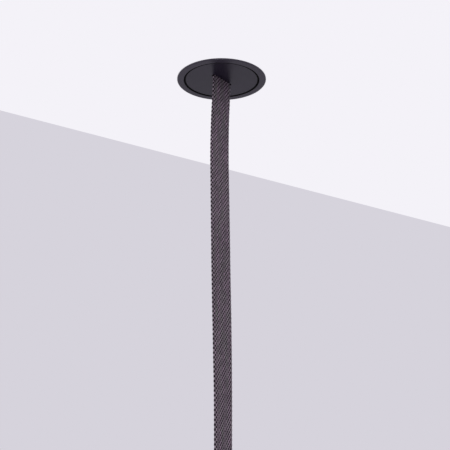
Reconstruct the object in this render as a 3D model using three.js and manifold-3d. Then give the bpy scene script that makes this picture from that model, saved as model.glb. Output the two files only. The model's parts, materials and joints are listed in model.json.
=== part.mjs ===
// A round recessed ceiling canopy with a woven belt that hangs out of it.
// Millimetres, +Z up. The origin is the centre of the round hole in the ceiling, in the plane of
// the ceiling's underside. +X runs along the slot and the belt's width, and the belt hangs down -Z.

import * as THREE from 'three';
import { mergeVertices } from 'three/addons/utils/BufferGeometryUtils.js';
import Module from 'manifold-3d';

const wasm = await Module();
wasm.setup();

// The ceiling that it is made for
const CUTOUT_RADIUS = 38;
const BOARD_THICKNESS = 12.5;

// Clearances
const SEAT_GAP = 0.3;
const SHANK_PLAY = 0.25;
const WALL_CLEARANCE = 0.8;

// Trim ring
const FLANGE_OVERLAP = 4.5;
const FLANGE_THICKNESS = 1.5;
const FLANGE_CHAMFER = 0.5;
const COLLAR_PLAY = 0.4;
const COLLAR_WALL = 2;
const COLLAR_HEIGHT = 13;
const MOUTH_WALL = 1.6;
const MOUTH_CHAMFER = 0.2;
const LEDGE_WIDTH = 7.6;
const LEDGE_THICKNESS = 3;

// Cover disc and the magnets that hold it
const SHADOW_GAP = 1.2;
const DISC_RECESS = 0.3;
const DISC_THICKNESS = 2.2;
const DISC_CHAMFER = 0.25;
const CENTRING_RIM_HEIGHT = 1.8;
const CENTRING_RIM_WALL = 1.6;
const SLOT_END_CLEARANCE = 1.5;
const SLOT_SIDE_CLEARANCE = 0.8;
const MAGNET_RADIUS = 3;
const MAGNET_THICKNESS = 2;
const MAGNET_PLAY = 0.2;
const MAGNET_COUNT = 4;

// Wiring can
const CAN_WALL = 1;
const CAN_HEIGHT = 45.4;
const CAN_CORNER_RADIUS = 4;
const CAN_BEAD_RADIUS = 0.8;
const CAN_BEAD_HEIGHT = 18;
const CAN_SCREW_COUNT = 3;

// Spring clips
const CLIP_COUNT = 3;
const CLIP_WIDTH = 9;
const CLIP_THICKNESS = 0.6;
const CLIP_FOOT_LENGTH = 11;
const CLIP_FOOT_DROP = 4.5;
const CLIP_REACH = 8.5;
const CLIP_TIP_RISE = 1.6;
const CLIP_TIP_LENGTH = 3;
const CLIP_TIP_BEND_RADIUS = 1.2;
const CLIP_BEND_RADIUS = 3;

// Anchor bridge
const BRIDGE_THICKNESS = 2;
const BRIDGE_WIDTH = 16;
const BRIDGE_RISE = 5.4;
const BRIDGE_BEND_RADIUS = 2;
const BRIDGE_RISER_INSET = 2.5;
const BRIDGE_SCREW_SPREAD = 4.5;
const BRIDGE_SCREW_INSET = 3.3;
const SHELF_WIDTH = 26;
const SHELF_CORNER_RADIUS = 2;

// Belt: it runs straight through the clamp and the slot, and then hangs by a route whose points are
// chosen by hand, each a share of the drop and a drift across the belt's face
const BELT_WIDTH = 25;
const BELT_THICKNESS = 2.6;
const BELT_EDGE_CUT = 0.6;
const BELT_STEPS = 36;
const BELT_DROP = 374;
const BELT_INSIDE = [24, 10, -2];
const BELT_HANG = [
  [0.04, 0.25], [0.11, 1.4], [0.2, 2.3], [0.3, 2.0], [0.4, 1.4], [0.51, 0.8],
  [0.61, 0], [0.71, -0.8], [0.8, -1.6], [0.88, -2.0], [0.94, -2.2], [1, -2.2],
];
const BELT_TWIST = THREE.MathUtils.degToRad(4.5);
const BELT_TWIST_START = 0.51;
const BELT_TWIST_END = 0.8;

// Belt jaws
const JAW_THICKNESS = 6;
const JAW_HEIGHT = 10;
const JAW_END = 8.5;
const TOOTH_PITCH = 2;
const TOOTH_DEPTH = 0.7;
const JAW_SCREW_INSET = 4;
const JAW_POCKET_DEPTH = 2;

// Terminal block
const POLE_PITCH = 9.5;
const POLE_COUNT = 2;
const BLOCK_LENGTH = 18;
const BLOCK_BASE_HEIGHT = 8.6;
const BLOCK_TURRET_HEIGHT = 4;
const BLOCK_TURRET_RADIUS = 3.3;
const BLOCK_BORE_HEIGHT = 4.6;
const TUBE_RADIUS = 2.5;
const TUBE_BORE_RADIUS = 1.5;
const TUBE_LENGTH = 14;
const CLAMP_SCREW_SPREAD = 4.2;

// The belt's two wires
const LEAD_RADIUS = 1.1;
const LEAD_SPREAD = 6;
const LEAD_STRAIGHT = 4.2;
const LEAD_LOOP_HEIGHT = 7;
const LEAD_EXTRA_LOOP = 4;
const LEAD_SIDE_REACH = 7;
const LEAD_DROP = 6;
const LEAD_PAST_SCREW = 1.4;
const LEAD_STEPS = 22;

// Supply inlet on the can's top
const GLAND_X = 14;
const GLAND_Y = 8;
const GLAND_THREAD_RADIUS = 8;
const GLAND_SHANK_LENGTH = 8;
const GLAND_HEX_FLATS = 19;
const GLAND_HEX_HEIGHT = 5;
const GLAND_NECK_HEIGHT = 8;
const GLAND_CAP_HEIGHT = 12;
const GLAND_NUT_FLATS = 22;
const GLAND_NUT_HEIGHT = 3;
const SEAL_BORE_RADIUS = 3.6;
const SEAL_WALL = 1.6;
const SEAL_HEIGHT = 6.5;
const DOME_SHOULDER_DROP = 4;
const DOME_EDGE_DROP = 1.2;
const DOME_EDGE_INSET = 1;
const DOME_TOP_INSET = 3;

// Earthing point on the can's top
const EARTH_X = -16;
const EARTH_Y = -10;
const EARTH_WASHER_RADIUS = 5;
const EARTH_WASHER_THICKNESS = 0.8;

// Clamp on the belt's lower end
const END_PLATE_OVERHANG = 5.5;
const END_PLATE_HEIGHT = 18;
const END_PLATE_THICKNESS = 2.5;
const END_PLATE_CHAMFER = 0.4;
const END_FLANGE_THICKNESS = 3;
const END_SCREW_INSET = 2.6;
const END_THREAD_RADIUS = 2.5;

// Fasteners: radius of the shank, and radius, height and hexagon socket of the head
const M2 = { shank: 1.25, head: 2.2, headHeight: 1.4, socket: 0.8 };
const M3 = { shank: 1.5, head: 2.7, headHeight: 2, socket: 1.15, nutFlats: 5.5, nutHeight: 2.4 };
const M4 = { shank: 2, head: 3.5, headHeight: 2.8, socket: 1.5, nutFlats: 7, nutHeight: 3.2 };
const CLAMP_SCREW = { shank: 1.3, head: 1.8, headHeight: 1.6, socket: 0.8 };
const RIVET = { shank: 1.6, head: 3, headHeight: 1.1 };
const TIP_CHAMFER = 0.3;
const EARTH_SCREW_LENGTH = 7.5;

// Roundness of turned work
const RING_SIDES = 64;
const CAN_SIDES = 40;
const SMALL_SIDES = 16;
const SCREW_SIDES = 10;
const BEND_STEPS = 3;

// Levels and radii that follow from the sizes above
const collarRadius = CUTOUT_RADIUS - COLLAR_PLAY;
const flangeRadius = CUTOUT_RADIUS + FLANGE_OVERLAP;
const mouthRadius = collarRadius - MOUTH_WALL;
const canBoreRadius = collarRadius - COLLAR_WALL;
const ledgeInnerRadius = canBoreRadius - LEDGE_WIDTH;
const discRadius = mouthRadius - SHADOW_GAP;
const faceZ = -FLANGE_THICKNESS;
const discFrontZ = faceZ + DISC_RECESS;
const discBackZ = discFrontZ + DISC_THICKNESS;
const ledgeBottomZ = discBackZ + SEAT_GAP;
const ledgeTopZ = ledgeBottomZ + LEDGE_THICKNESS;
const canRadius = canBoreRadius - SEAT_GAP;
const canInnerRadius = canRadius - CAN_WALL;
const canBottomZ = ledgeTopZ + SEAT_GAP;
const canTopZ = canBottomZ + CAN_HEIGHT;
const canScrewZ = (canBottomZ + COLLAR_HEIGHT) / 2;
const clipTopZ = canTopZ - CLIP_FOOT_DROP;
const rivetZ = clipTopZ - CLIP_FOOT_LENGTH / 2;
const footBottomZ = ledgeTopZ + SEAT_GAP;
const footTopZ = footBottomZ + BRIDGE_THICKNESS;
const plateBottomZ = footBottomZ + BRIDGE_RISE;
const plateTopZ = plateBottomZ + BRIDGE_THICKNESS;
const bridgeReach = canInnerRadius - WALL_CLEARANCE;
const bridgeScrewLength = BRIDGE_THICKNESS + 2 * SEAT_GAP + LEDGE_THICKNESS - SEAT_GAP;
const bridgeScrewX = Math.sqrt((bridgeReach - BRIDGE_SCREW_INSET) ** 2 - BRIDGE_SCREW_SPREAD ** 2);
const jawBottomZ = plateTopZ + SEAT_GAP;
const jawFaceY = BELT_THICKNESS / 2 + SEAT_GAP;
const jawBackY = jawFaceY + JAW_THICKNESS;
const jawHalfLength = BELT_WIDTH / 2 + JAW_END;
const jawScrewX = jawHalfLength - JAW_SCREW_INSET;
const jawScrewZ = jawBottomZ + JAW_HEIGHT / 2;
const blockBottomZ = plateTopZ + SEAT_GAP;
const blockWidth = POLE_COUNT * POLE_PITCH;
const blockOuterY = Math.sqrt(bridgeReach ** 2 - (BLOCK_LENGTH / 2) ** 2) - WALL_CLEARANCE;
const blockMiddleY = blockOuterY - blockWidth / 2;
const poleZ = blockBottomZ + BLOCK_BORE_HEIGHT;
const blockScrewLength = BLOCK_BASE_HEIGHT + BRIDGE_THICKNESS + 2 * SEAT_GAP;
const beltRoute = [
  ...BELT_INSIDE.map((height) => [height, 0]),
  ...BELT_HANG.map(([share, drift]) => [-share * BELT_DROP, drift]),
];
const beltTopZ = beltRoute[0][0];
const [beltEndZ, endCentreY] = beltRoute[beltRoute.length - 1];

// Solids: closed meshes are welded, cut and joined, and come back as geometry
function toSolid(geometry) {
  const bare = geometry.clone();
  bare.deleteAttribute('normal');
  bare.deleteAttribute('uv');
  const welded = mergeVertices(bare);
  const corners = welded.index.array;
  const triangles = [];
  for (let i = 0; i < corners.length; i += 3) {
    const [a, b, c] = corners.slice(i, i + 3);
    if (a !== b && b !== c && c !== a) triangles.push(a, b, c);
  }
  return new wasm.Manifold(new wasm.Mesh({
    numProp: 3,
    vertProperties: new Float32Array(welded.attributes.position.array),
    triVerts: new Uint32Array(triangles),
  }));
}

function toGeometry(solid) {
  const mesh = solid.getMesh();
  const geometry = new THREE.BufferGeometry();
  geometry.setAttribute('position', new THREE.BufferAttribute(mesh.vertProperties, 3));
  geometry.setIndex(new THREE.BufferAttribute(mesh.triVerts, 1));
  geometry.computeVertexNormals();
  return geometry;
}

const cut = (body, ...tools) =>
  toGeometry(tools.reduce((solid, tool) => solid.subtract(toSolid(tool)), toSolid(body)));

const join = (body, ...others) =>
  toGeometry(others.reduce((solid, other) => solid.add(toSolid(other)), toSolid(body)));

const trim = (body, limit) => toGeometry(toSolid(body).intersect(toSolid(limit)));

// Turned work: a profile of [radius, height] points, listed upwards along the outside
function turned(profile, sides = SMALL_SIDES) {
  const points = profile.map(([radius, height]) => new THREE.Vector2(radius, height));
  const onAxis = points[0].x === 0 && points[points.length - 1].x === 0;
  if (!onAxis) points.push(points[0].clone());
  return new THREE.LatheGeometry(points, sides).rotateX(Math.PI / 2);
}

function arcPoints(centreRadius, centreHeight, radius, fromDegrees, toDegrees, steps) {
  return Array.from({ length: steps + 1 }, (_, i) => {
    const angle = THREE.MathUtils.degToRad(fromDegrees + ((toDegrees - fromDegrees) * i) / steps);
    return [centreRadius + radius * Math.cos(angle), centreHeight + radius * Math.sin(angle)];
  });
}

const rod = (radius, fromZ, toZ, sides = SMALL_SIDES) =>
  turned([[0, fromZ], [radius, fromZ], [radius, toZ], [0, toZ]], sides);

// Prisms: a shape drawn in one plane and given its depth across it, half to each side
function prism(shape, depth, edgeCut = 0) {
  const geometry = new THREE.ExtrudeGeometry(shape, {
    depth: depth - 2 * edgeCut,
    bevelEnabled: edgeCut > 0,
    bevelThickness: edgeCut,
    bevelSize: edgeCut,
    bevelOffset: -edgeCut,
    bevelSegments: 1,
    curveSegments: 4,
  });
  return geometry.translate(0, 0, edgeCut - depth / 2);
}

const X = new THREE.Vector3(1, 0, 0);
const Y = new THREE.Vector3(0, 1, 0);
const Z = new THREE.Vector3(0, 0, 1);
const acrossX = (geometry) => geometry.applyMatrix4(new THREE.Matrix4().makeBasis(Y, Z, X));
const acrossY = (geometry) =>
  geometry.applyMatrix4(new THREE.Matrix4().makeBasis(X, Z, Y.clone().negate()));

function roundedRectangle(halfWidth, halfHeight, radius) {
  const shape = new THREE.Shape();
  shape.moveTo(halfWidth, radius - halfHeight);
  shape.absarc(halfWidth - radius, halfHeight - radius, radius, 0, Math.PI / 2);
  shape.absarc(radius - halfWidth, halfHeight - radius, radius, Math.PI / 2, Math.PI);
  shape.absarc(radius - halfWidth, radius - halfHeight, radius, Math.PI, Math.PI * 1.5);
  shape.absarc(halfWidth - radius, radius - halfHeight, radius, Math.PI * 1.5, Math.PI * 2);
  return shape;
}

const slotShape = (length, width) => {
  const radius = width / 2;
  const shape = new THREE.Shape();
  shape.absarc(length / 2 - radius, 0, radius, -Math.PI / 2, Math.PI / 2);
  shape.absarc(radius - length / 2, 0, radius, Math.PI / 2, Math.PI * 1.5);
  return shape;
};

function hexagon(flats) {
  const radius = flats / Math.sqrt(3);
  const corner = (i) => {
    const angle = (i * Math.PI) / 3;
    return new THREE.Vector2(radius * Math.cos(angle), radius * Math.sin(angle));
  };
  return new THREE.Shape([0, 1, 2, 3, 4, 5].map(corner));
}

// Folded strip: the outline of a strip of one thickness that follows its corner points, each
// [x, y, bend radius], with round bends
function foldedStrip(corners, thickness) {
  const points = corners.map(([x, y]) => new THREE.Vector2(x, y));
  const left = [];
  const right = [];
  const addStation = (point, direction) => {
    const side = new THREE.Vector2(-direction.y, direction.x).multiplyScalar(thickness / 2);
    left.push(point.clone().add(side));
    right.unshift(point.clone().sub(side));
  };
  points.forEach((corner, i) => {
    const before = points[i - 1];
    const after = points[i + 1];
    const inward = before && corner.clone().sub(before).normalize();
    const outward = after && after.clone().sub(corner).normalize();
    if (!before || !after) {
      addStation(corner, inward || outward);
      return;
    }
    const reach = corners[i][2] * Math.tan(Math.acos(inward.dot(outward)) / 2);
    const start = corner.clone().addScaledVector(inward, -reach);
    const end = corner.clone().addScaledVector(outward, reach);
    const bend = new THREE.QuadraticBezierCurve(start, corner, end);
    for (let step = 0; step <= BEND_STEPS; step += 1) {
      addStation(bend.getPoint(step / BEND_STEPS), bend.getTangent(step / BEND_STEPS));
    }
  });
  return new THREE.Shape([...left, ...right]);
}

// Fasteners: the head stands above height 0 and the shank hangs below it
function panScrew(size, length) {
  const body = turned([
    [0, -length],
    [size.shank - TIP_CHAMFER, -length],
    [size.shank, TIP_CHAMFER - length],
    [size.shank, 0],
    [size.head, 0],
    [size.head, size.headHeight - TIP_CHAMFER],
    [size.head - TIP_CHAMFER, size.headHeight],
    [0, size.headHeight],
  ], SCREW_SIDES);
  return cut(body, rod(size.socket, size.headHeight / 3, size.headHeight * 2, 6));
}

function countersunkProfile(size, length, growth = 0) {
  const shank = size.shank + growth;
  const head = size.head + growth;
  return [[0, -length], [shank, -length], [shank, shank - head], [head, 0], [0, 0]];
}

function countersunkScrew(size, length) {
  const body = turned(countersunkProfile(size, length), SCREW_SIDES);
  return cut(body, rod(size.socket, -size.headHeight / 2, size.headHeight, 6));
}

function rivet(size, grip) {
  const dome = arcPoints(0, 0, 1, 0, 90, 2);
  const outer = dome.map(([x, y]) => [x * size.head, y * size.headHeight]);
  const inner = dome.map(([x, y]) => [x * size.head, -grip - y * size.headHeight]).reverse();
  return turned([...inner, [size.shank, -grip], [size.shank, 0], ...outer], SCREW_SIDES);
}

function nut(flats, height, holeRadius, sides = SCREW_SIDES) {
  return cut(prism(hexagon(flats), height), rod(holeRadius, -height, height, sides));
}

// Finishes
const finish = (color, roughness, metalness) => () =>
  new THREE.MeshStandardMaterial({ color, roughness, metalness });
const satinBlack = finish(0x1b1a1d, 0.38, 0);
const zincPlate = finish(0xb5b7b6, 0.4, 1);
const springSteel = finish(0x6f7072, 0.35, 1);
const blackSteel = finish(0x2b2b2d, 0.45, 1);
const nickel = finish(0xc2c0ba, 0.2, 1);
const brass = finish(0xb99a55, 0.3, 1);
const whiteNylon = finish(0xe4e2da, 0.5, 0);
const blackNylon = finish(0x202022, 0.55, 0);
const blackRubber = finish(0x161617, 0.8, 0);
const greyInsulation = finish(0x4a474d, 0.5, 0);
const wovenBelt = finish(0x564c56, 0.85, 0);

const canopy = new THREE.Group();

function addPart(name, geometry, makeFinish, parent = canopy) {
  const mesh = new THREE.Mesh(geometry, makeFinish());
  mesh.name = name;
  parent.add(mesh);
  return mesh;
}

// A frame whose +Z points outwards from the canopy's axis, at one angle and height
function radialFrame(degrees, radius, height) {
  const frame = new THREE.Group();
  const angle = THREE.MathUtils.degToRad(degrees);
  frame.position.set(radius * Math.cos(angle), radius * Math.sin(angle), height);
  frame.rotation.set(0, Math.PI / 2, angle, 'ZYX');
  frame.updateMatrix();
  return frame;
}

const inFrame = (geometry, frame) => geometry.clone().applyMatrix4(frame.matrix);

// A frame whose +Z points along -Y, for the screws that cross the belt
function crossFrame(x, y, z) {
  const frame = new THREE.Group();
  frame.position.set(x, y, z);
  frame.rotation.set(Math.PI / 2, 0, 0);
  frame.updateMatrix();
  return frame;
}

const spread = (count, firstDegrees) =>
  Array.from({ length: count }, (_, i) => firstDegrees + (i * 360) / count);

const clipAngles = spread(CLIP_COUNT, 90);
const canScrewAngles = spread(CAN_SCREW_COUNT, 30);
const magnetAngles = spread(MAGNET_COUNT, 45);
const magnetRadius = (ledgeInnerRadius + canBoreRadius) / 2;
const bridgeScrewPlaces = [-1, 1].flatMap((side) =>
  [-1, 1].map((end) => [side * bridgeScrewX, end * BRIDGE_SCREW_SPREAD]));

function at(geometry, x, y, z = 0) {
  return geometry.translate(x, y, z);
}

function magnetPlace(degrees) {
  const angle = THREE.MathUtils.degToRad(degrees);
  return [magnetRadius * Math.cos(angle), magnetRadius * Math.sin(angle)];
}

// Trim ring: flange, mouth, ledge and collar turned from one piece
function trimRing() {
  const body = turned([
    [mouthRadius + MOUTH_CHAMFER, faceZ],
    [flangeRadius - FLANGE_CHAMFER, faceZ],
    [flangeRadius, faceZ + FLANGE_CHAMFER],
    [flangeRadius, 0],
    [collarRadius, 0],
    [collarRadius, COLLAR_HEIGHT],
    [canBoreRadius, COLLAR_HEIGHT],
    [canBoreRadius, ledgeTopZ],
    [ledgeInnerRadius, ledgeTopZ],
    [ledgeInnerRadius, ledgeBottomZ],
    [mouthRadius, ledgeBottomZ],
    [mouthRadius, faceZ + MOUTH_CHAMFER],
  ], RING_SIDES);
  const pocketTop = ledgeBottomZ + MAGNET_THICKNESS + MAGNET_PLAY;
  const pockets = magnetAngles.map((degrees) =>
    at(rod(MAGNET_RADIUS + MAGNET_PLAY, faceZ, pocketTop), ...magnetPlace(degrees)));
  const bridgeHoles = bridgeScrewPlaces.map(([x, y]) =>
    at(rod(M3.shank + SHANK_PLAY, faceZ, footTopZ, SCREW_SIDES), x, y));
  const canHoles = canScrewAngles.map((degrees) => inFrame(
    turned(countersunkProfile(M3, COLLAR_WALL * 2, SHANK_PLAY), SCREW_SIDES),
    radialFrame(degrees, collarRadius, canScrewZ),
  ));
  return cut(body, ...pockets, ...bridgeHoles, ...canHoles);
}

// Cover disc: a plain face, a centring rim that enters the ledge, and the belt's slot
function coverDisc() {
  const rimRadius = ledgeInnerRadius - SEAT_GAP;
  const rimTopZ = discBackZ + CENTRING_RIM_HEIGHT;
  const body = turned([
    [0, discFrontZ],
    [discRadius - DISC_CHAMFER, discFrontZ],
    [discRadius, discFrontZ + DISC_CHAMFER],
    [discRadius, discBackZ],
    [rimRadius, discBackZ],
    [rimRadius, rimTopZ],
    [rimRadius - CENTRING_RIM_WALL, rimTopZ],
    [rimRadius - CENTRING_RIM_WALL, discBackZ],
    [0, discBackZ],
  ], RING_SIDES);
  return cut(body, beltSlot(SLOT_END_CLEARANCE, DISC_THICKNESS * 3));
}

function beltSlot(endClearance, depth) {
  const length = BELT_WIDTH + 2 * endClearance;
  return prism(slotShape(length, BELT_THICKNESS + 2 * SLOT_SIDE_CLEARANCE), depth);
}

// Wiring can: a drawn cup, open below, with a pressed bead round its wall
function housingCan() {
  const beadZ = canBottomZ + CAN_BEAD_HEIGHT;
  const innerCorner = CAN_CORNER_RADIUS - CAN_WALL;
  const cornerZ = canTopZ - CAN_CORNER_RADIUS;
  const body = turned([
    [canRadius, canBottomZ],
    ...arcPoints(canRadius, beadZ, CAN_BEAD_RADIUS, -90, 90, 3),
    ...arcPoints(canRadius - CAN_CORNER_RADIUS, cornerZ, CAN_CORNER_RADIUS, 0, 90, 3),
    [0, canTopZ],
    [0, canTopZ - CAN_WALL],
    ...arcPoints(canInnerRadius - innerCorner, cornerZ, innerCorner, 90, 0, 3),
    ...arcPoints(canInnerRadius, beadZ, CAN_BEAD_RADIUS, 90, -90, 3),
    [canInnerRadius, canBottomZ],
  ], CAN_SIDES);
  const throughTop = (radius, sides) => rod(radius, jawBottomZ, canTopZ * 2, sides);
  const glandHole = at(throughTop(GLAND_THREAD_RADIUS + SEAT_GAP, SMALL_SIDES), GLAND_X, GLAND_Y);
  const earthHole = at(throughTop(M4.shank + SHANK_PLAY, SCREW_SIDES), EARTH_X, EARTH_Y);
  const sideHoles = (angles, radius, height) => angles.map((degrees) => inFrame(
    rod(radius, -CAN_WALL * 3, CAN_WALL, SCREW_SIDES),
    radialFrame(degrees, canRadius, height),
  ));
  return cut(
    body,
    glandHole,
    earthHole,
    ...sideHoles(canScrewAngles, M3.shank + SHANK_PLAY, canScrewZ),
    ...sideHoles(clipAngles, RIVET.shank + SHANK_PLAY, rivetZ),
  );
}

// Spring clip: a foot flat on the can, a leaf that spreads downwards, and a turned-up tip that
// presses on the top of the ceiling board. Drawn with its foot's face on radius 0.
function springClip() {
  const middle = CLIP_THICKNESS / 2;
  const tipX = CUTOUT_RADIUS + CLIP_REACH - canRadius - SEAT_GAP;
  const tipZ = BOARD_THICKNESS + SEAT_GAP + CLIP_THICKNESS;
  const outline = foldedStrip([
    [middle, clipTopZ],
    [middle, clipTopZ - CLIP_FOOT_LENGTH, CLIP_BEND_RADIUS],
    [tipX, tipZ, CLIP_TIP_BEND_RADIUS],
    [tipX + CLIP_TIP_LENGTH, tipZ + CLIP_TIP_RISE],
  ], CLIP_THICKNESS);
  const leaf = acrossY(prism(outline, CLIP_WIDTH));
  const hole = rod(RIVET.shank + SHANK_PLAY, -CLIP_WIDTH, CLIP_WIDTH, SCREW_SIDES);
  return cut(leaf, at(hole.rotateY(Math.PI / 2), 0, 0, rivetZ));
}

// Anchor bridge: feet on the ledge, a raised plate with the belt's slot, and a shelf behind it
function anchorBridge() {
  const footZ = footBottomZ + BRIDGE_THICKNESS / 2;
  const plateZ = plateBottomZ + BRIDGE_THICKNESS / 2;
  const riserX = ledgeInnerRadius - BRIDGE_RISER_INSET;
  const hat = acrossY(prism(foldedStrip([
    [-canRadius, footZ],
    [-riserX, footZ, BRIDGE_BEND_RADIUS],
    [-riserX, plateZ, BRIDGE_BEND_RADIUS],
    [riserX, plateZ, BRIDGE_BEND_RADIUS],
    [riserX, footZ, BRIDGE_BEND_RADIUS],
    [canRadius, footZ],
  ], BRIDGE_THICKNESS), BRIDGE_WIDTH));
  const shelfOutline = roundedRectangle(SHELF_WIDTH / 2, canRadius / 2, SHELF_CORNER_RADIUS);
  const shelf = at(prism(shelfOutline, BRIDGE_THICKNESS), 0, canRadius / 2, plateZ);
  const limit = rod(bridgeReach, faceZ, canTopZ, RING_SIDES);
  const slot = at(beltSlot(SEAT_GAP + SHANK_PLAY, BRIDGE_THICKNESS * 2), 0, 0, plateZ);
  const screwHoles = bridgeScrewPlaces.map(([x, y]) =>
    at(rod(M3.shank + SHANK_PLAY, ledgeTopZ, plateTopZ, SCREW_SIDES), x, y));
  const blockHole = at(rod(M2.shank + SHANK_PLAY, ledgeTopZ, canTopZ, SCREW_SIDES), 0, blockMiddleY);
  return cut(trim(join(hat, shelf), limit), slot, blockHole, ...screwHoles);
}

// Belt jaw: a bar with teeth across the belt's face. The front one takes the screw heads and the
// back one the nuts.
function beltJaw(facing, pocketFor) {
  const outline = [[jawFaceY + JAW_THICKNESS, jawBottomZ]];
  outline.push([jawFaceY + JAW_THICKNESS, jawBottomZ + JAW_HEIGHT]);
  const teeth = Math.floor(JAW_HEIGHT / TOOTH_PITCH);
  const pitch = JAW_HEIGHT / teeth;
  for (let tooth = teeth; tooth > 0; tooth -= 1) {
    outline.push([jawFaceY + TOOTH_DEPTH, jawBottomZ + tooth * pitch]);
    outline.push([jawFaceY, jawBottomZ + (tooth - 0.5) * pitch]);
  }
  outline.push([jawFaceY + TOOTH_DEPTH, jawBottomZ]);
  const points = outline.map(([y, z]) => new THREE.Vector2(facing * y, z));
  const bar = acrossX(prism(new THREE.Shape(points), 2 * jawHalfLength));
  const pocketDepth = jawBackY - JAW_POCKET_DEPTH;
  const tools = [-jawScrewX, jawScrewX].flatMap((x) => {
    const frame = crossFrame(x, 0, jawScrewZ);
    const hole = rod(M4.shank + SHANK_PLAY, -2 * jawBackY, 2 * jawBackY, SCREW_SIDES);
    const pocket = pocketFor(pocketDepth, 2 * jawBackY);
    return [inFrame(hole, frame), inFrame(pocket, frame)];
  });
  return cut(bar, ...tools);
}

const headPocket = (from, to) => rod(M4.head + SHANK_PLAY, from, to, SMALL_SIDES);
const nutPocket = (from, to) =>
  prism(hexagon(M4.nutFlats + 2 * SHANK_PLAY), to - from).translate(0, 0, -(from + to) / 2);

// Terminal block: a base with a turret over each clamping screw
function terminalBlock() {
  const halfWidth = blockWidth / 2;
  const baseOutline = roundedRectangle(BLOCK_LENGTH / 2, halfWidth, 1);
  const base = at(prism(baseOutline, BLOCK_BASE_HEIGHT), 0, 0, BLOCK_BASE_HEIGHT / 2);
  const turrets = [];
  const tools = [rod(M2.shank + SHANK_PLAY, -1, BLOCK_BASE_HEIGHT * 2, SCREW_SIDES)];
  poleOffsets.forEach((y) => {
    const bore = rod(TUBE_RADIUS + SEAT_GAP, -BLOCK_LENGTH, BLOCK_LENGTH, SMALL_SIDES);
    tools.push(at(bore.rotateY(Math.PI / 2), 0, y, BLOCK_BORE_HEIGHT));
    clampOffsets.forEach((x) => {
      const turretTop = BLOCK_BASE_HEIGHT + BLOCK_TURRET_HEIGHT;
      turrets.push(at(rod(BLOCK_TURRET_RADIUS, BLOCK_BASE_HEIGHT / 2, turretTop), x, y));
      tools.push(at(rod(CLAMP_SCREW.head + SEAT_GAP, BLOCK_BORE_HEIGHT, turretTop * 2), x, y));
    });
  });
  return cut(join(base, ...turrets), ...tools);
}

const poleOffsets = Array.from({ length: POLE_COUNT }, (_, i) =>
  (i - (POLE_COUNT - 1) / 2) * POLE_PITCH);
const clampOffsets = [-CLAMP_SCREW_SPREAD, CLAMP_SCREW_SPREAD];

function terminalTube() {
  const tube = cut(
    rod(TUBE_RADIUS, -TUBE_LENGTH / 2, TUBE_LENGTH / 2),
    rod(TUBE_BORE_RADIUS, -TUBE_LENGTH, TUBE_LENGTH),
  ).rotateY(Math.PI / 2);
  const holes = clampOffsets.map((x) =>
    at(rod(CLAMP_SCREW.shank + SHANK_PLAY, 0, TUBE_RADIUS * 2, SCREW_SIDES), x, 0));
  return cut(tube, ...holes);
}

// A wire of the belt: out of the belt's upper end, over the back jaw and down into its pole, where
// it ends just past the first clamping screw
function lead(startX, poleY, extraLoop) {
  const entryX = -BLOCK_LENGTH / 2;
  const startZ = beltTopZ + SEAT_GAP;
  const loopZ = startZ + LEAD_LOOP_HEIGHT + extraLoop;
  const sideX = entryX - LEAD_SIDE_REACH - extraLoop / 4;
  const endX = LEAD_PAST_SCREW - CLAMP_SCREW_SPREAD;
  const route = new THREE.CatmullRomCurve3([
    new THREE.Vector3(startX, 0, startZ),
    new THREE.Vector3(startX, LEAD_RADIUS / 2, startZ + LEAD_STRAIGHT),
    new THREE.Vector3((startX + sideX) / 2 + LEAD_RADIUS, poleY * 0.35, loopZ),
    new THREE.Vector3(sideX + LEAD_RADIUS, poleY * 0.75, (startZ + loopZ) / 2 + LEAD_RADIUS),
    new THREE.Vector3(sideX, poleY - LEAD_RADIUS, poleZ + LEAD_DROP),
    new THREE.Vector3(entryX - LEAD_STRAIGHT, poleY, poleZ + LEAD_RADIUS / 3),
    new THREE.Vector3(entryX - LEAD_RADIUS, poleY, poleZ),
    new THREE.Vector3(endX, poleY, poleZ),
  ]);
  const section = new THREE.Shape();
  section.absarc(0, 0, LEAD_RADIUS, 0, Math.PI * 2);
  return new THREE.ExtrudeGeometry(section, {
    steps: LEAD_STEPS,
    curveSegments: 4,
    bevelEnabled: false,
    extrudePath: route,
  });
}

// Supply inlet: body with its thread through the can's top, seal, domed cap and lock nut
const glandSeatZ = canTopZ + SEAT_GAP;
const glandNeckZ = glandSeatZ + GLAND_HEX_HEIGHT;
const sealRadius = SEAL_BORE_RADIUS + SEAL_WALL;
const sealBottomZ = glandNeckZ + GLAND_NECK_HEIGHT / 2;

function glandBody() {
  const neckTopZ = glandNeckZ + GLAND_NECK_HEIGHT;
  const threads = rod(GLAND_THREAD_RADIUS, glandSeatZ - GLAND_SHANK_LENGTH, neckTopZ);
  const hex = prism(hexagon(GLAND_HEX_FLATS), GLAND_HEX_HEIGHT)
    .translate(0, 0, glandSeatZ + GLAND_HEX_HEIGHT / 2);
  const bore = rod(SEAL_BORE_RADIUS + SEAT_GAP, glandSeatZ - 2 * GLAND_SHANK_LENGTH, neckTopZ * 2);
  const sealSeat = rod(sealRadius + SEAT_GAP, sealBottomZ - SEAT_GAP, neckTopZ * 2);
  return cut(join(threads, hex), bore, sealSeat);
}

function glandSeal() {
  const topZ = sealBottomZ + SEAL_HEIGHT;
  return turned([
    [SEAL_BORE_RADIUS, sealBottomZ],
    [sealRadius, sealBottomZ],
    [sealRadius, topZ - SEAL_WALL / 2],
    [sealRadius - SEAL_WALL / 2, topZ],
    [SEAL_BORE_RADIUS, topZ],
  ]);
}

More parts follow.
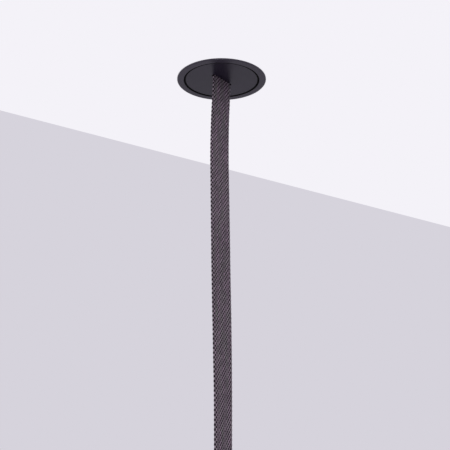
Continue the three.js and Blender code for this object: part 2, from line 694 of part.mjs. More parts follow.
function glandCap() {
  const bottomZ = glandNeckZ + SEAT_GAP;
  const topZ = bottomZ + GLAND_CAP_HEIGHT;
  const roofZ = sealBottomZ + SEAL_HEIGHT + SEAT_GAP;
  const hex = prism(hexagon(GLAND_HEX_FLATS), GLAND_CAP_HEIGHT)
    .translate(0, 0, (bottomZ + topZ) / 2);
  const dome = turned([
    [0, bottomZ - 1],
    [GLAND_HEX_FLATS, bottomZ - 1],
    [GLAND_HEX_FLATS / Math.sqrt(3), topZ - DOME_SHOULDER_DROP],
    [GLAND_HEX_FLATS / 2 - DOME_EDGE_INSET, topZ - DOME_EDGE_DROP],
    [GLAND_HEX_FLATS / 2 - DOME_TOP_INSET, topZ],
    [0, topZ],
  ]);
  const neckTopZ = glandNeckZ + GLAND_NECK_HEIGHT;
  const threadRoom = rod(GLAND_THREAD_RADIUS + SEAT_GAP, bottomZ - 1, neckTopZ + SEAT_GAP);
  const sealRoom = rod(sealRadius + SEAT_GAP, bottomZ, roofZ);
  const bore = rod(SEAL_BORE_RADIUS + SEAT_GAP, bottomZ, topZ * 2);
  return cut(trim(hex, dome), threadRoom, sealRoom, bore);
}

// Belt: a flat tube along its route, turned about its own centre line where it twists
function belt() {
  const route = new THREE.CatmullRomCurve3(
    beltRoute.map(([z, y]) => new THREE.Vector3(0, y, z)),
  );
  const wide = BELT_WIDTH / 2;
  const thick = BELT_THICKNESS / 2;
  const section = new THREE.Shape([
    [thick, BELT_EDGE_CUT - wide], [thick, wide - BELT_EDGE_CUT],
    [thick - BELT_EDGE_CUT, wide], [BELT_EDGE_CUT - thick, wide],
    [-thick, wide - BELT_EDGE_CUT], [-thick, BELT_EDGE_CUT - wide],
    [BELT_EDGE_CUT - thick, -wide], [thick - BELT_EDGE_CUT, -wide],
  ].map(([x, y]) => new THREE.Vector2(x, y)));
  const geometry = new THREE.ExtrudeGeometry(section, {
    steps: BELT_STEPS,
    bevelEnabled: false,
    extrudePath: route,
  });
  const position = geometry.attributes.position;
  const vertex = new THREE.Vector3();
  for (let i = 0; i < position.count; i += 1) {
    vertex.fromBufferAttribute(position, i);
    const centreY = driftAt(vertex.z);
    vertex.y -= centreY;
    vertex.applyAxisAngle(Z, twistAt(vertex.z));
    position.setXYZ(i, vertex.x, vertex.y + centreY, vertex.z);
  }
  return geometry;
}

function driftAt(z) {
  const next = beltRoute.findIndex(([height]) => height <= z);
  if (next <= 0) return beltRoute[next < 0 ? beltRoute.length - 1 : 0][1];
  const [highZ, highY] = beltRoute[next - 1];
  const [lowZ, lowY] = beltRoute[next];
  return lowY + ((highY - lowY) * (z - lowZ)) / (highZ - lowZ);
}

const twistAt = (z) =>
  BELT_TWIST * THREE.MathUtils.smoothstep(-z / BELT_DROP, BELT_TWIST_START, BELT_TWIST_END);

// Clamp on the belt's lower end: the back plate has a flange under the belt for what hangs there.
// Drawn with the belt's centre at the origin and its end at height 0.
const endFaceY = BELT_THICKNESS / 2 + SEAT_GAP;
const endBackY = endFaceY + END_PLATE_THICKNESS;
const endHalfWidth = BELT_WIDTH / 2 + END_PLATE_OVERHANG;
const endScrewX = endHalfWidth - END_SCREW_INSET;
const endScrewZ = END_PLATE_HEIGHT / 2;

function endPlate(geometry) {
  const holes = [-endScrewX, endScrewX].map((x) => inFrame(
    rod(M3.shank + SHANK_PLAY, -3 * endBackY, 3 * endBackY, SCREW_SIDES),
    crossFrame(x, 0, endScrewZ),
  ));
  return cut(geometry, ...holes);
}

function endPlateFront() {
  const outline = roundedRectangle(endHalfWidth, END_PLATE_HEIGHT / 2, 2);
  const plate = acrossY(prism(outline, END_PLATE_THICKNESS, END_PLATE_CHAMFER));
  return endPlate(at(plate, 0, -(endFaceY + endBackY) / 2, END_PLATE_HEIGHT / 2));
}

function endPlateBack() {
  const flangeTop = -SEAT_GAP;
  const flangeBottom = flangeTop - END_FLANGE_THICKNESS;
  const outline = new THREE.Shape([
    [-endBackY, flangeBottom], [endBackY, flangeBottom], [endBackY, END_PLATE_HEIGHT],
    [endFaceY, END_PLATE_HEIGHT], [endFaceY, flangeTop], [-endBackY, flangeTop],
  ].map(([y, z]) => new THREE.Vector2(y, z)));
  const angle = acrossX(prism(outline, 2 * endHalfWidth, END_PLATE_CHAMFER));
  return cut(endPlate(angle), rod(END_THREAD_RADIUS, flangeBottom - 1, flangeTop + 1));
}

// Assembly: the ring and what closes it
addPart('trim_ring', trimRing(), satinBlack);
addPart('cover_disc', coverDisc(), satinBlack);
magnetAngles.forEach((degrees, i) => {
  const magnet = addPart(`cover_magnet_${i + 1}`, rod(MAGNET_RADIUS, 0, MAGNET_THICKNESS), nickel);
  magnet.position.set(...magnetPlace(degrees), ledgeBottomZ);
});

// Assembly: the can, its screws and the spring clips
addPart('housing_can', housingCan(), blackSteel);
canScrewAngles.forEach((degrees, i) => {
  const frame = radialFrame(degrees, collarRadius, canScrewZ);
  const length = COLLAR_WALL + SEAT_GAP + CAN_WALL + SEAT_GAP;
  addPart(`can_screw_${i + 1}`, countersunkScrew(M3, length), zincPlate, frame);
  canopy.add(frame);
});
clipAngles.forEach((degrees, i) => {
  const clip = addPart(`spring_clip_${i + 1}`, springClip(), springSteel);
  const angle = THREE.MathUtils.degToRad(degrees);
  const seat = canRadius + SEAT_GAP;
  clip.position.set(seat * Math.cos(angle), seat * Math.sin(angle), 0);
  clip.rotation.z = angle;
  const frame = radialFrame(degrees, seat + CLIP_THICKNESS + SEAT_GAP, rivetZ);
  const grip = CLIP_THICKNESS + CAN_WALL + 3 * SEAT_GAP;
  addPart(`clip_rivet_${i + 1}`, rivet(RIVET, grip), nickel, frame);
  canopy.add(frame);
});

// Assembly: the bridge with the belt's jaws
addPart('anchor_bridge', anchorBridge(), zincPlate);
bridgeScrewPlaces.forEach(([x, y], i) => {
  const screw = addPart(`bridge_screw_${i + 1}`, panScrew(M3, bridgeScrewLength), zincPlate);
  screw.position.set(x, y, footTopZ + SEAT_GAP);
});
addPart('jaw_front', beltJaw(-1, headPocket), blackSteel);
addPart('jaw_back', beltJaw(1, nutPocket), blackSteel);

[['left', -jawScrewX], ['right', jawScrewX]].forEach(([side, x]) => {
  const headY = jawBackY - JAW_POCKET_DEPTH + SEAT_GAP;
  const frame = crossFrame(x, -headY, jawScrewZ);
  addPart(`jaw_screw_${side}`, panScrew(M4, 2 * headY + M4.nutHeight), zincPlate, frame);
  canopy.add(frame);
  const jawNut = nut(M4.nutFlats, M4.nutHeight, M4.shank + SHANK_PLAY);
  const nutFrame = crossFrame(x, headY + M4.nutHeight / 2, jawScrewZ);
  addPart(`jaw_nut_${side}`, jawNut, zincPlate, nutFrame);
  canopy.add(nutFrame);
});

// Assembly: the terminal block and the wires
const terminals = new THREE.Group();
terminals.position.set(0, blockMiddleY, blockBottomZ);
canopy.add(terminals);
addPart('terminal_block', terminalBlock(), whiteNylon, terminals);
poleOffsets.forEach((y, pole) => {
  const tube = addPart(`terminal_tube_${pole + 1}`, terminalTube(), brass, terminals);
  tube.position.set(0, y, BLOCK_BORE_HEIGHT);
  clampOffsets.forEach((x, end) => {
    const number = pole * clampOffsets.length + end + 1;
    const length = TUBE_RADIUS - LEAD_RADIUS + SEAT_GAP;
    const screw = panScrew(CLAMP_SCREW, length);
    addPart(`terminal_screw_${number}`, screw, zincPlate, terminals)
      .position.set(x, y, BLOCK_BORE_HEIGHT + LEAD_RADIUS + SEAT_GAP + length);
  });
});
addPart('block_screw', panScrew(M2, blockScrewLength), zincPlate, terminals)
  .position.z = BLOCK_BASE_HEIGHT + SEAT_GAP;
poleOffsets.forEach((y, pole) => {
  const side = pole * 2 - 1;
  const wire = lead(side * LEAD_SPREAD, blockMiddleY + y, pole * LEAD_EXTRA_LOOP);
  addPart(`lead_${pole + 1}`, wire, greyInsulation);
});

// Assembly: supply inlet and earthing point
const inlet = new THREE.Group();
inlet.position.set(GLAND_X, GLAND_Y, 0);
canopy.add(inlet);
addPart('gland_body', glandBody(), blackNylon, inlet);
addPart('gland_seal', glandSeal(), blackRubber, inlet);
addPart('gland_cap', glandCap(), blackNylon, inlet);
const glandThreadHole = GLAND_THREAD_RADIUS + SHANK_PLAY;
const lockNut = nut(GLAND_NUT_FLATS, GLAND_NUT_HEIGHT, glandThreadHole, SMALL_SIDES);
addPart('gland_nut', lockNut, blackNylon, inlet)
  .position.z = canTopZ - CAN_WALL - SEAT_GAP - GLAND_NUT_HEIGHT / 2;

const earth = new THREE.Group();
earth.position.set(EARTH_X, EARTH_Y, 0);
canopy.add(earth);
const earthSeatZ = canTopZ + 2 * SEAT_GAP + EARTH_WASHER_THICKNESS;
addPart('earth_screw', panScrew(M4, EARTH_SCREW_LENGTH), brass, earth).position.z = earthSeatZ;
const washer = cut(
  rod(EARTH_WASHER_RADIUS, 0, EARTH_WASHER_THICKNESS),
  rod(M4.shank + SHANK_PLAY, -1, EARTH_WASHER_THICKNESS + 1, SCREW_SIDES),
);
addPart('earth_washer', washer, brass, earth).position.z = canTopZ + SEAT_GAP;
addPart('earth_nut', nut(M4.nutFlats, M4.nutHeight, M4.shank + SHANK_PLAY), brass, earth)
  .position.z = canTopZ - CAN_WALL - SEAT_GAP - M4.nutHeight / 2;

// Assembly: the belt and the clamp on its lower end
addPart('belt', belt(), wovenBelt);
const lowerEnd = new THREE.Group();
lowerEnd.position.set(0, endCentreY, beltEndZ);
lowerEnd.rotation.z = BELT_TWIST;
canopy.add(lowerEnd);
addPart('end_plate_front', endPlateFront(), blackSteel, lowerEnd);
addPart('end_plate_back', endPlateBack(), blackSteel, lowerEnd);
[['left', -endScrewX], ['right', endScrewX]].forEach(([side, x]) => {
  const seatY = endBackY + SEAT_GAP;
  const frame = crossFrame(x, -seatY, endScrewZ);
  addPart(`end_screw_${side}`, panScrew(M3, 2 * seatY + M3.nutHeight), blackSteel, frame);
  lowerEnd.add(frame);
  const nutFrame = crossFrame(x, seatY + M3.nutHeight / 2, endScrewZ);
  const endNut = nut(M3.nutFlats, M3.nutHeight, M3.shank + SHANK_PLAY);
  addPart(`end_nut_${side}`, endNut, blackSteel, nutFrame);
  lowerEnd.add(nutFrame);
});

export default canopy;
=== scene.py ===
"""Ceiling canopy with its woven belt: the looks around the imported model.

Lengths are in millimetres, as in the part's source, and every helper turns them into metres.
"""

import json
import math

import bmesh
import bpy
import numpy as np
from mathutils import Matrix, Vector


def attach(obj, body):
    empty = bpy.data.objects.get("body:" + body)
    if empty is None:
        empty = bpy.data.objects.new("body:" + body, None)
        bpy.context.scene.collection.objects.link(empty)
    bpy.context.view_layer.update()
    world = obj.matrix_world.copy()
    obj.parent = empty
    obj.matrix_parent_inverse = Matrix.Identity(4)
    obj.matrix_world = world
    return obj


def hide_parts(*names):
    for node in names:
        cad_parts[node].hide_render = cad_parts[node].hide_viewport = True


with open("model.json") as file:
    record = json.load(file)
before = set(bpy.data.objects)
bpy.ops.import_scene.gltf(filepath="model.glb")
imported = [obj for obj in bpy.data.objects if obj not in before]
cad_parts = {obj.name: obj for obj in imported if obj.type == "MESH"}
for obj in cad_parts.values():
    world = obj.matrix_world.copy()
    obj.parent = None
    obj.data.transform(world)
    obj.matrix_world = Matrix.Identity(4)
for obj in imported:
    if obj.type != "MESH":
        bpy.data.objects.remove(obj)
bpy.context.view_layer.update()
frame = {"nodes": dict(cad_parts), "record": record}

MM = 0.001

# Camera: below the canopy and in front of it, to the left of the belt
CAMERA_PLACE = (-683.4, -525.4, -441.0)
CAMERA_HEADING = 52.666
CAMERA_PITCH = 18.807
CAMERA_LENS = 80
CAMERA_SENSOR = 36
NEAREST_SEEN = 20
FURTHEST_SEEN = 30000

# Angles in degrees past which an edge is rounded, and past which it is shaded as a sharp one
ROUNDED_EDGE = 30
SHARP_EDGE = 35

# Radii of the holes for screws and rivets
SCREW_HOLE = 1.75
RIVET_HOLE = 1.85
EARTH_HOLE = 2.25

# Ring, disc and can, each a profile of (radius, height)
RING_SIDES = 192
RING_PROFILE = (
    (36.2, -1.5), (42.0, -1.5), (42.5, -1.0), (42.5, 0.0), (37.6, 0.0), (37.6, 13.0),
    (35.6, 13.0), (35.6, 4.3), (28.0, 4.3), (28.0, 1.3), (36.0, 1.3), (36.0, -1.3), (36.2, -1.5),
)
RING_ROUNDING = 0.22
DISC_PROFILE = (
    (34.55, -0.95), (34.8, -0.7), (34.8, 1.0), (27.7, 1.0), (27.7, 2.8), (26.1, 2.8), (26.1, 1.0),
)
SLOT_LENGTH = 28
SLOT_WIDTH = 4.2
CAN_SIDES = 128
CAN_RADIUS = 35.3
CAN_WALL = 1.0
CAN_BOTTOM = 4.6
CAN_TOP = 50.0
CAN_CORNER = 4.0
BEAD_HEIGHT = 22.6
BEAD_RADIUS = 0.8
MAGNET_ANGLES = (45, 135, 225, 315)
MAGNET_CIRCLE = 31.8
MAGNET_POCKET = 3.2
RING_SCREW_ANGLES = (30, 150, 270)
RING_SCREW_HEIGHT = 8.8
RING_SCREW_SINK = ((SCREW_HOLE, -4), (SCREW_HOLE, -1.2), (2.95, 0), (2.95, 1))
COLLAR_RADIUS = 37.6
BRIDGE_SCREWS = ((29.86, 4.5), (29.86, -4.5), (-29.86, 4.5), (-29.86, -4.5))

# A blank pressed into the can's top, for a second inlet
BLANK_PLACE = (-13, 12)
BLANK_GROOVE = ((10.2, -0.3), (10.6, -0.3), (10.9, 0.3), (9.9, 0.3), (10.2, -0.3))

# Spring clips, whose path has corners of (distance out from the seat, height, bend)
CLIP_ANGLES = (90, 210, 330)
CLIP_SEAT = 35.6
CLIP_WIDTH = 9.0
CLIP_THICKNESS = 0.6
CLIP_PATH = ((0.3, 45.5, 0), (0.3, 34.5, 3.0), (10.9, 13.4, 1.2), (13.9, 15.0, 0))
CLIP_CORNER = 1.8
RIVET_HEIGHT = 40.0
RIVET_HEAD = (3.0, 1.1)
RIVET_SHANK = 1.6
RIVET_GRIP = 2.5

# Supply inlet and earthing point on the can's top
INLET_PLACE = (14, 8)
INLET_HOLE = 8.3
INLET_BORE = 3.9
INLET_SEAT = 5.5
INLET_FLATS = 19
INLET_BODY = (50.3, 55.3)
INLET_CAP = (55.6, 67.6)
EARTH_PLACE = (-16, -10)

# Belt: straight down through its jaws and the slot, and then hanging by its route. Each point is a
# share of the drop, a drift square to the slot and a turn in degrees.
BELT_WIDTH = 25
BELT_THICKNESS = 2.6
BELT_DROP = 374
BELT_INSIDE = (24, 10, -2)
BELT_HANG = (
    (0.04, 0.3, 0.0), (0.11, 1.55, -0.5), (0.2, 2.2, -1.5), (0.3, 1.7, -1.7),
    (0.4, 1.0, -1.6), (0.51, 0.3, -1.2), (0.61, -0.6, -0.5), (0.71, -1.4, 0.9),
    (0.8, -2.0, 2.8), (0.88, -2.15, 3.9), (0.94, -2.2, 4.4), (1.0, -2.2, 4.5),
)

# Weave: each lengthwise yarn floats on the face and dives once in a repeat. Its neighbours dive
# half a repeat away, so that the dives stand in slanting rows. From and to are shares of a repeat,
# and relief and depth are in millimetres, more on the edges by the share that EDGE_RELIEF gives.
YARNS_ROUND = 30
POINTS_PER_YARN = 5
REPEAT_LENGTH = 4.1
ROWS_PER_REPEAT = 6
DIVE_STEP = 0.5
DIVE_FROM = 0.12
DIVE_TO = 0.29
DIVE_DEPTH = 0.42
CROWN_RELIEF = 0.18
EDGE_RELIEF = 1.3
BELT_CORNER = 0.7

# Clamp on the belt's lower end, drawn with the belt's centre at the origin and its end at height 0,
# and then moved to where the route ends
END_DRIFT, END_TURN = BELT_HANG[-1][1:]
END_PLACE = Matrix.Translation((0, END_DRIFT * MM, -BELT_DROP * MM)) @ Matrix.Rotation(
    math.radians(END_TURN), 4, "Z"
)
END_HALF_WIDTH = 18
END_FACE = 1.6
END_BACK = 4.1
END_TOP = 18
END_FOOT = (-3.299, -0.3)
END_CORNER = 2
END_THREAD = 2.5
END_SCREW_X = 15.4
END_SCREW_HEIGHT = 9

# Room: a ceiling board just under the flange's back face, which reaches only so far that it hides
# what is above it from the camera. The rest of the ceiling is higher and further off, and ends on
# the line where the wall begins.
CEILING_COLOUR = (0.905, 0.888, 0.939, 1)
BOARD_HEIGHT = -0.05
BOARD_HOLE = 42.3
BOARD_RADIUS = 150
CIRCLE_SIDES = 96
HIGH_CEILING = 1000
CEILING_FAR = ((600, 1450), (1147.0, 1960.3), (3568.4, 1171.5), (1400, 150))
WALL_COLOUR = (0.672, 0.651, 0.716, 1)
ROOM_COLOUR = (0.93, 0.92, 0.95, 1)
ROOM_STRENGTH = 0.9
FLOOR_PAINT = (0.415, 0.40, 0.445, 1)
FLOOR_SEEN = (0.98, 0.93, 1.04, 1)
FLOOR_SEEN_BY_CAMERA = 0.5
FLOOR_SEEN_IN_GLOSS = 0.14
FLOOR_HEIGHT = -1150
FLOOR_RADIUS = 18000

# Square lamps: place, the point they face, side and power in watts
LAMPS = {
    "key": ((-900, -1500, 300), (0, 0, -180), 1000, 5.5),
    "fill": ((-1500, 900, 300), (0, 0, -150), 1000, 3.2),
}


# Camera

def place_camera():
    lens = bpy.data.cameras.new("camera")
    lens.lens = CAMERA_LENS
    lens.sensor_width = CAMERA_SENSOR
    lens.clip_start = NEAREST_SEEN * MM
    lens.clip_end = FURTHEST_SEEN * MM
    camera = bpy.data.objects.new("camera", lens)
    camera.location = Vector(CAMERA_PLACE) * MM
    camera.rotation_euler = (math.radians(90 + CAMERA_PITCH), 0, -math.radians(CAMERA_HEADING))
    bpy.context.scene.collection.objects.link(camera)
    bpy.context.scene.camera = camera


# Modelling helpers

def deselect_all():
    if bpy.context.mode != "OBJECT":
        bpy.ops.object.mode_set(mode="OBJECT")
    bpy.ops.object.select_all(action="DESELECT")


def name_piece(name):
    """Names the primitive just added, and puts its place into its mesh."""
    piece = bpy.context.object
    piece.name = name
    piece.data.name = name
    bpy.ops.object.transform_apply(location=True, rotation=True, scale=True)
    return piece


def make_active(piece):
    deselect_all()
    piece.select_set(True)
    bpy.context.view_layer.objects.active = piece


def close_mesh():
    """Ends edit mode with the doubles merged and the faces pointing outwards."""
    bpy.ops.mesh.select_all(action="SELECT")
    bpy.ops.mesh.remove_doubles(threshold=0.001 * MM)
    bpy.ops.mesh.normals_make_consistent(inside=False)
    bpy.ops.object.mode_set(mode="OBJECT")


def turned(name, profile, sides, solid=True):
    """Turned work: a ring of points, extruded and scaled along a profile of (radius, height).

    A solid piece has a face at both ends of its profile. A hollow one's profile ends where it
    starts.
    """
    deselect_all()
    radius, height = profile[0]
    bpy.ops.mesh.primitive_circle_add(
        vertices=sides,
        radius=radius * MM,
        location=(0, 0, height * MM),
        fill_type="NGON" if solid else "NOTHING",
    )
    piece = name_piece(name)
    bpy.ops.object.mode_set(mode="EDIT")
    for next_radius, next_height in profile[1:]:
        rise = (next_height - height) * MM
        growth = next_radius / radius
        bpy.ops.mesh.extrude_region_move(TRANSFORM_OT_translate={"value": (0, 0, rise)})
        bpy.ops.transform.resize(value=(growth, growth, 1), center_override=(0, 0, 0))
        radius, height = next_radius, next_height
    close_mesh()
    return piece


def arc(centre_radius, centre_height, radius, from_degrees, to_degrees, steps):
    """Points of (radius, height) on an arc of a profile."""
    angles = np.radians(np.linspace(from_degrees, to_degrees, steps + 1))
    return [
        (centre_radius + radius * math.cos(a), centre_height + radius * math.sin(a))
        for a in angles
    ]


def rod(name, radius, low, high, sides=32):
    return turned(name, ((radius, low), (radius, high)), sides)


def hexagon(name, flats, low, high):
    return turned(name, ((flats / math.sqrt(3), low), (flats / math.sqrt(3), high)), 6)


def apply_modifier(piece, modifier):
    make_active(piece)
    bpy.ops.object.modifier_apply(modifier=modifier.name)


def round_edges(piece, width, segments=2):
    bevel = piece.modifiers.new("rounding", "BEVEL")
    bevel.width = width * MM
    bevel.segments = segments
    bevel.limit_method = "ANGLE"
    bevel.angle_limit = math.radians(ROUNDED_EDGE)
    apply_modifier(piece, bevel)


def combine(piece, tool, operation):
    boolean = piece.modifiers.new(operation.lower(), "BOOLEAN")
    boolean.operation = operation
    boolean.solver = "EXACT"
    boolean.object = tool
    apply_modifier(piece, boolean)
    bpy.data.meshes.remove(tool.data)
    return piece


def cut(piece, tool):
    return combine(piece, tool, "DIFFERENCE")


def move(piece, matrix):
    piece.data.transform(matrix)
    return piece


def shift(x, y, z=0.0):
    return Matrix.Translation((x * MM, y * MM, z * MM))


def outwards(degrees, radius, height):
    """Turns +Z outwards from the canopy's axis, at one angle and height."""
    turn = Matrix.Rotation(math.radians(degrees), 4, "Z")
    return turn @ shift(radius, 0, height) @ Matrix.Rotation(math.radians(90), 4, "Y")


def outwards_flat(degrees, radius):
    """Turns +X outwards from the canopy's axis, at one angle."""
    return Matrix.Rotation(math.radians(degrees), 4, "Z") @ shift(radius, 0)


def across_belt(x, y, z):
    """Turns +Z towards -Y, for the screws that cross the belt."""
    return shift(x, y, z) @ Matrix.Rotation(math.radians(90), 4, "X")


def copy_piece(piece, name, matrix):
    copied = piece.copy()
    copied.data = piece.data.copy()
    copied.name = name
    copied.data.name = name
    bpy.context.scene.collection.objects.link(copied)
    return move(copied, matrix)


def smooth(piece):
    """Shades a piece smooth, with normals that follow its large faces and not its bevels."""
    make_active(piece)
    bpy.ops.object.shade_smooth_by_angle(angle=math.radians(SHARP_EDGE))
    even = piece.modifiers.new("even_faces", "WEIGHTED_NORMAL")
    even.mode = "FACE_AREA"
    even.weight = 100
    even.keep_sharp = True
    apply_modifier(piece, even)


def select_points(piece, wanted):
    """In edit mode, selects the points whose place in millimetres passes the test."""
    mesh = bmesh.from_edit_mesh(piece.data)
    for point in mesh.verts:
        point.select = bool(wanted(point.co / MM))
    mesh.select_flush_mode()
    bmesh.update_edit_mesh(piece.data)


# The belt

def belt_route():
    """Heights, drifts and turns of the belt's centre line, from its lower end upwards."""
    inside = [(height, 0.0, 0.0) for height in BELT_INSIDE]
    hanging = [(-share * BELT_DROP, drift, turn) for share, drift, turn in BELT_HANG]
    return np.array((inside + hanging)[::-1]).T


def along_route(at, values, heights):
    """Values at any heights, on one smooth line through those of the route."""
    slope = np.gradient(values, at)
    span = np.clip(np.searchsorted(at, heights, side="right") - 1, 0, len(at) - 2)
    step = at[span + 1] - at[span]
    t = (heights - at[span]) / step
    return (
        (2 * t**3 - 3 * t**2 + 1) * values[span]
        + (t**3 - 2 * t**2 + t) * step * slope[span]
        + (3 * t**2 - 2 * t**3) * values[span + 1]
        + (t**3 - t**2) * step * slope[span + 1]
    )


def belt_drift(heights):
    at, drift, _ = belt_route()
    return along_route(at, drift, heights)


def belt_turn(heights):
    at, _, turn = belt_route()
    return np.radians(along_route(at, turn, heights))


def belt_section(count):
    """Evenly spaced points and outward directions round the belt, from the left edge on.

    They run along the front to the right edge, and back behind. Yarns lie with their middles
    on the middles of both edges.
    """
    half_width = BELT_WIDTH / 2 - BELT_CORNER
    half_depth = BELT_THICKNESS / 2 - BELT_CORNER
    outline = []
    for side_x, side_y, first in ((-1, -1, 180), (1, -1, 270), (1, 1, 0), (-1, 1, 90)):
        for degrees in np.linspace(first, first + 90, 9):
            way = np.array((math.cos(math.radians(degrees)), math.sin(math.radians(degrees))))
            centre = np.array((side_x * half_width, side_y * half_depth))
            outline.append((*(centre + BELT_CORNER * way), *way))
    outline = np.array([(-BELT_WIDTH / 2, 0, -1, 0), *outline, (-BELT_WIDTH / 2, 0, -1, 0)])
    steps = np.hypot(*np.diff(outline[:, :2], axis=0).T)
    travelled = np.concatenate([[0], np.cumsum(steps)])
    length = travelled[-1]
    wanted = (np.arange(count) / count - 0.5 / YARNS_ROUND) % 1 * length
    return [np.interp(wanted, travelled, values) for values in outline.T]


def weave_relief(across, along):
    """How far the yarns stand out, at any place counted in yarns round and repeats along."""
    yarn = np.floor(across)
    in_yarn = across - yarn
    phase = along - DIVE_STEP * yarn
    from_dive = np.abs(phase - np.round(phase))
    share = np.clip((from_dive - DIVE_FROM) / (DIVE_TO - DIVE_FROM), 0, 1)
    dive = 1 - share**2 * (3 - 2 * share)
    crown = np.sin(np.pi * in_yarn)
    return CROWN_RELIEF * crown - DIVE_DEPTH * dive * crown


def weave_belt():
    """A closed tube whose points follow the yarns, with a map that runs round it and up it.

    Returns the belt and the number of its repeats.
    """
    top, bottom = BELT_INSIDE[0], -BELT_DROP
    rows = round((top - bottom) / REPEAT_LENGTH * ROWS_PER_REPEAT) + 1
    columns = YARNS_ROUND * POINTS_PER_YARN
    heights = np.linspace(bottom, top, rows)
    x, y, normal_x, normal_y = belt_section(columns)
    across = np.arange(columns) / POINTS_PER_YARN
    along = np.arange(rows)[:, None] / ROWS_PER_REPEAT
    relief = weave_relief(across, along) * (1 + EDGE_RELIEF * normal_x**2)

    flat_x = x + normal_x * relief
    flat_y = y + normal_y * relief
    turn = belt_turn(heights)[:, None]
    points = np.empty((rows, columns, 3))
    points[..., 0] = flat_x * np.cos(turn) - flat_y * np.sin(turn)
    points[..., 1] = flat_x * np.sin(turn) + flat_y * np.cos(turn)
    points[..., 1] += belt_drift(heights)[:, None]
    points[..., 2] = heights[:, None]

    row, column = np.meshgrid(np.arange(rows - 1), np.arange(columns), indexing="ij")
    after = (column + 1) % columns
    corners = np.stack(
        [
            row * columns + column,
            row * columns + after,
            (row + 1) * columns + after,
            (row + 1) * columns + column,
        ],
        axis=-1,
    ).reshape(-1, 4)
    lower_end = list(range(columns))[::-1]
    upper_end = list(range((rows - 1) * columns, rows * columns))
    mesh = bpy.data.meshes.new("woven_belt")
    mesh.from_pydata(points.reshape(-1, 3) * MM, [], corners.tolist() + [lower_end, upper_end])

    weave_map = mesh.uv_layers.new(name="weave")
    left, low = column / columns, row / (rows - 1)
    right, high = (column + 1) / columns, (row + 1) / (rows - 1)
    places = np.stack([left, low, right, low, right, high, left, high], axis=-1)
    unmapped_ends = np.zeros(2 * 2 * columns)
    uv = np.concatenate([places.ravel(), unmapped_ends]).astype(np.float32)
    weave_map.data.foreach_set("uv", uv)
    mesh.polygons.foreach_set("use_smooth", [True] * (len(mesh.polygons) - 2) + [False, False])
    mesh.update()
    belt = bpy.data.objects.new("woven_belt", mesh)
    bpy.context.scene.collection.objects.link(belt)
    return belt, (rows - 1) / ROWS_PER_REPEAT


# The ring and the disc

def make_ring():
    ring = turned("flange_ring", RING_PROFILE, RING_SIDES, solid=False)
    round_edges(ring, RING_ROUNDING, 3)
    for degrees in MAGNET_ANGLES:
        pocket = rod("pocket", MAGNET_POCKET, 0.5, 3.5)
        angle = math.radians(degrees)
        place = shift(MAGNET_CIRCLE * math.cos(angle), MAGNET_CIRCLE * math.sin(angle))
        cut(ring, move(pocket, place))
    for x, y in BRIDGE_SCREWS:
        cut(ring, move(rod("hole", SCREW_HOLE, -1, 6), shift(x, y)))
    for degrees in RING_SCREW_ANGLES:
        sink = turned("sink", RING_SCREW_SINK, 32)
        cut(ring, move(sink, outwards(degrees, COLLAR_RADIUS, RING_SCREW_HEIGHT)))
    return ring


def make_disc():
    disc = turned("cover_plate", DISC_PROFILE, RING_SIDES)
    slot = rod("slot", SLOT_WIDTH / 2, -2, 3, 48)
    make_active(slot)
    bpy.ops.object.mode_set(mode="EDIT")
    bpy.ops.mesh.select_mode(type="VERT")
    reach = (SLOT_LENGTH - SLOT_WIDTH) / 2 * MM
    for side in (-1, 1):
        select_points(slot, lambda place, side=side: place.x * side > 0.01)
        bpy.ops.transform.translate(value=(side * reach, 0, 0))
    close_mesh()
    cut(disc, slot)
    round_edges(disc, 0.12)
    return disc


# The wiring can with its springs, screws and rivets

def make_can():
    inner_corner = CAN_CORNER - CAN_WALL
    corner_height = CAN_TOP - CAN_CORNER
    inner_radius = CAN_RADIUS - CAN_WALL
    profile = arc(inner_radius - inner_corner, corner_height, inner_corner, 90, 0, 8)
    profile += arc(inner_radius, BEAD_HEIGHT, BEAD_RADIUS, 90, -90, 8)
    profile += [(inner_radius, CAN_BOTTOM), (CAN_RADIUS, CAN_BOTTOM)]
    profile += arc(CAN_RADIUS, BEAD_HEIGHT, BEAD_RADIUS, -90, 90, 8)
    profile += arc(CAN_RADIUS - CAN_CORNER, corner_height, CAN_CORNER, 0, 90, 8)
    can = turned("wiring_can", profile, CAN_SIDES)
    for (x, y), radius in ((INLET_PLACE, INLET_HOLE), (EARTH_PLACE, EARTH_HOLE)):
        cut(can, move(rod("hole", radius, CAN_TOP - 5, CAN_TOP + 5, 48), shift(x, y)))
    for angles, radius, height in (
        (RING_SCREW_ANGLES, SCREW_HOLE, RING_SCREW_HEIGHT),
        (CLIP_ANGLES, RIVET_HOLE, RIVET_HEIGHT),
    ):
        for degrees in angles:
            cut(can, move(rod("hole", radius, -3, 1), outwards(degrees, CAN_RADIUS, height)))
    groove = turned("groove", BLANK_GROOVE, 64, solid=False)
    cut(can, move(groove, shift(*BLANK_PLACE, CAN_TOP)))
    return can


def rounded_path(corners, steps=6):
    """Points along straight runs through (x, z, bend radius), with a round bend at each corner."""
    places = [Vector(corner[:2]) for corner in corners]
    points = [places[0]]
    for before, (x, z, radius), after in zip(places, corners[1:-1], places[2:]):
        corner = Vector((x, z))
        inward = (corner - before).normalized()
        outward = (after - corner).normalized()
        reach = radius * math.tan(inward.angle(outward) / 2)
        start = corner - inward * reach
        end = corner + outward * reach
        for step in range(steps + 1):
            t = step / steps
            points.append(start * (1 - t) ** 2 + corner * 2 * t * (1 - t) + end * t**2)
    points.append(places[-1])
    return points


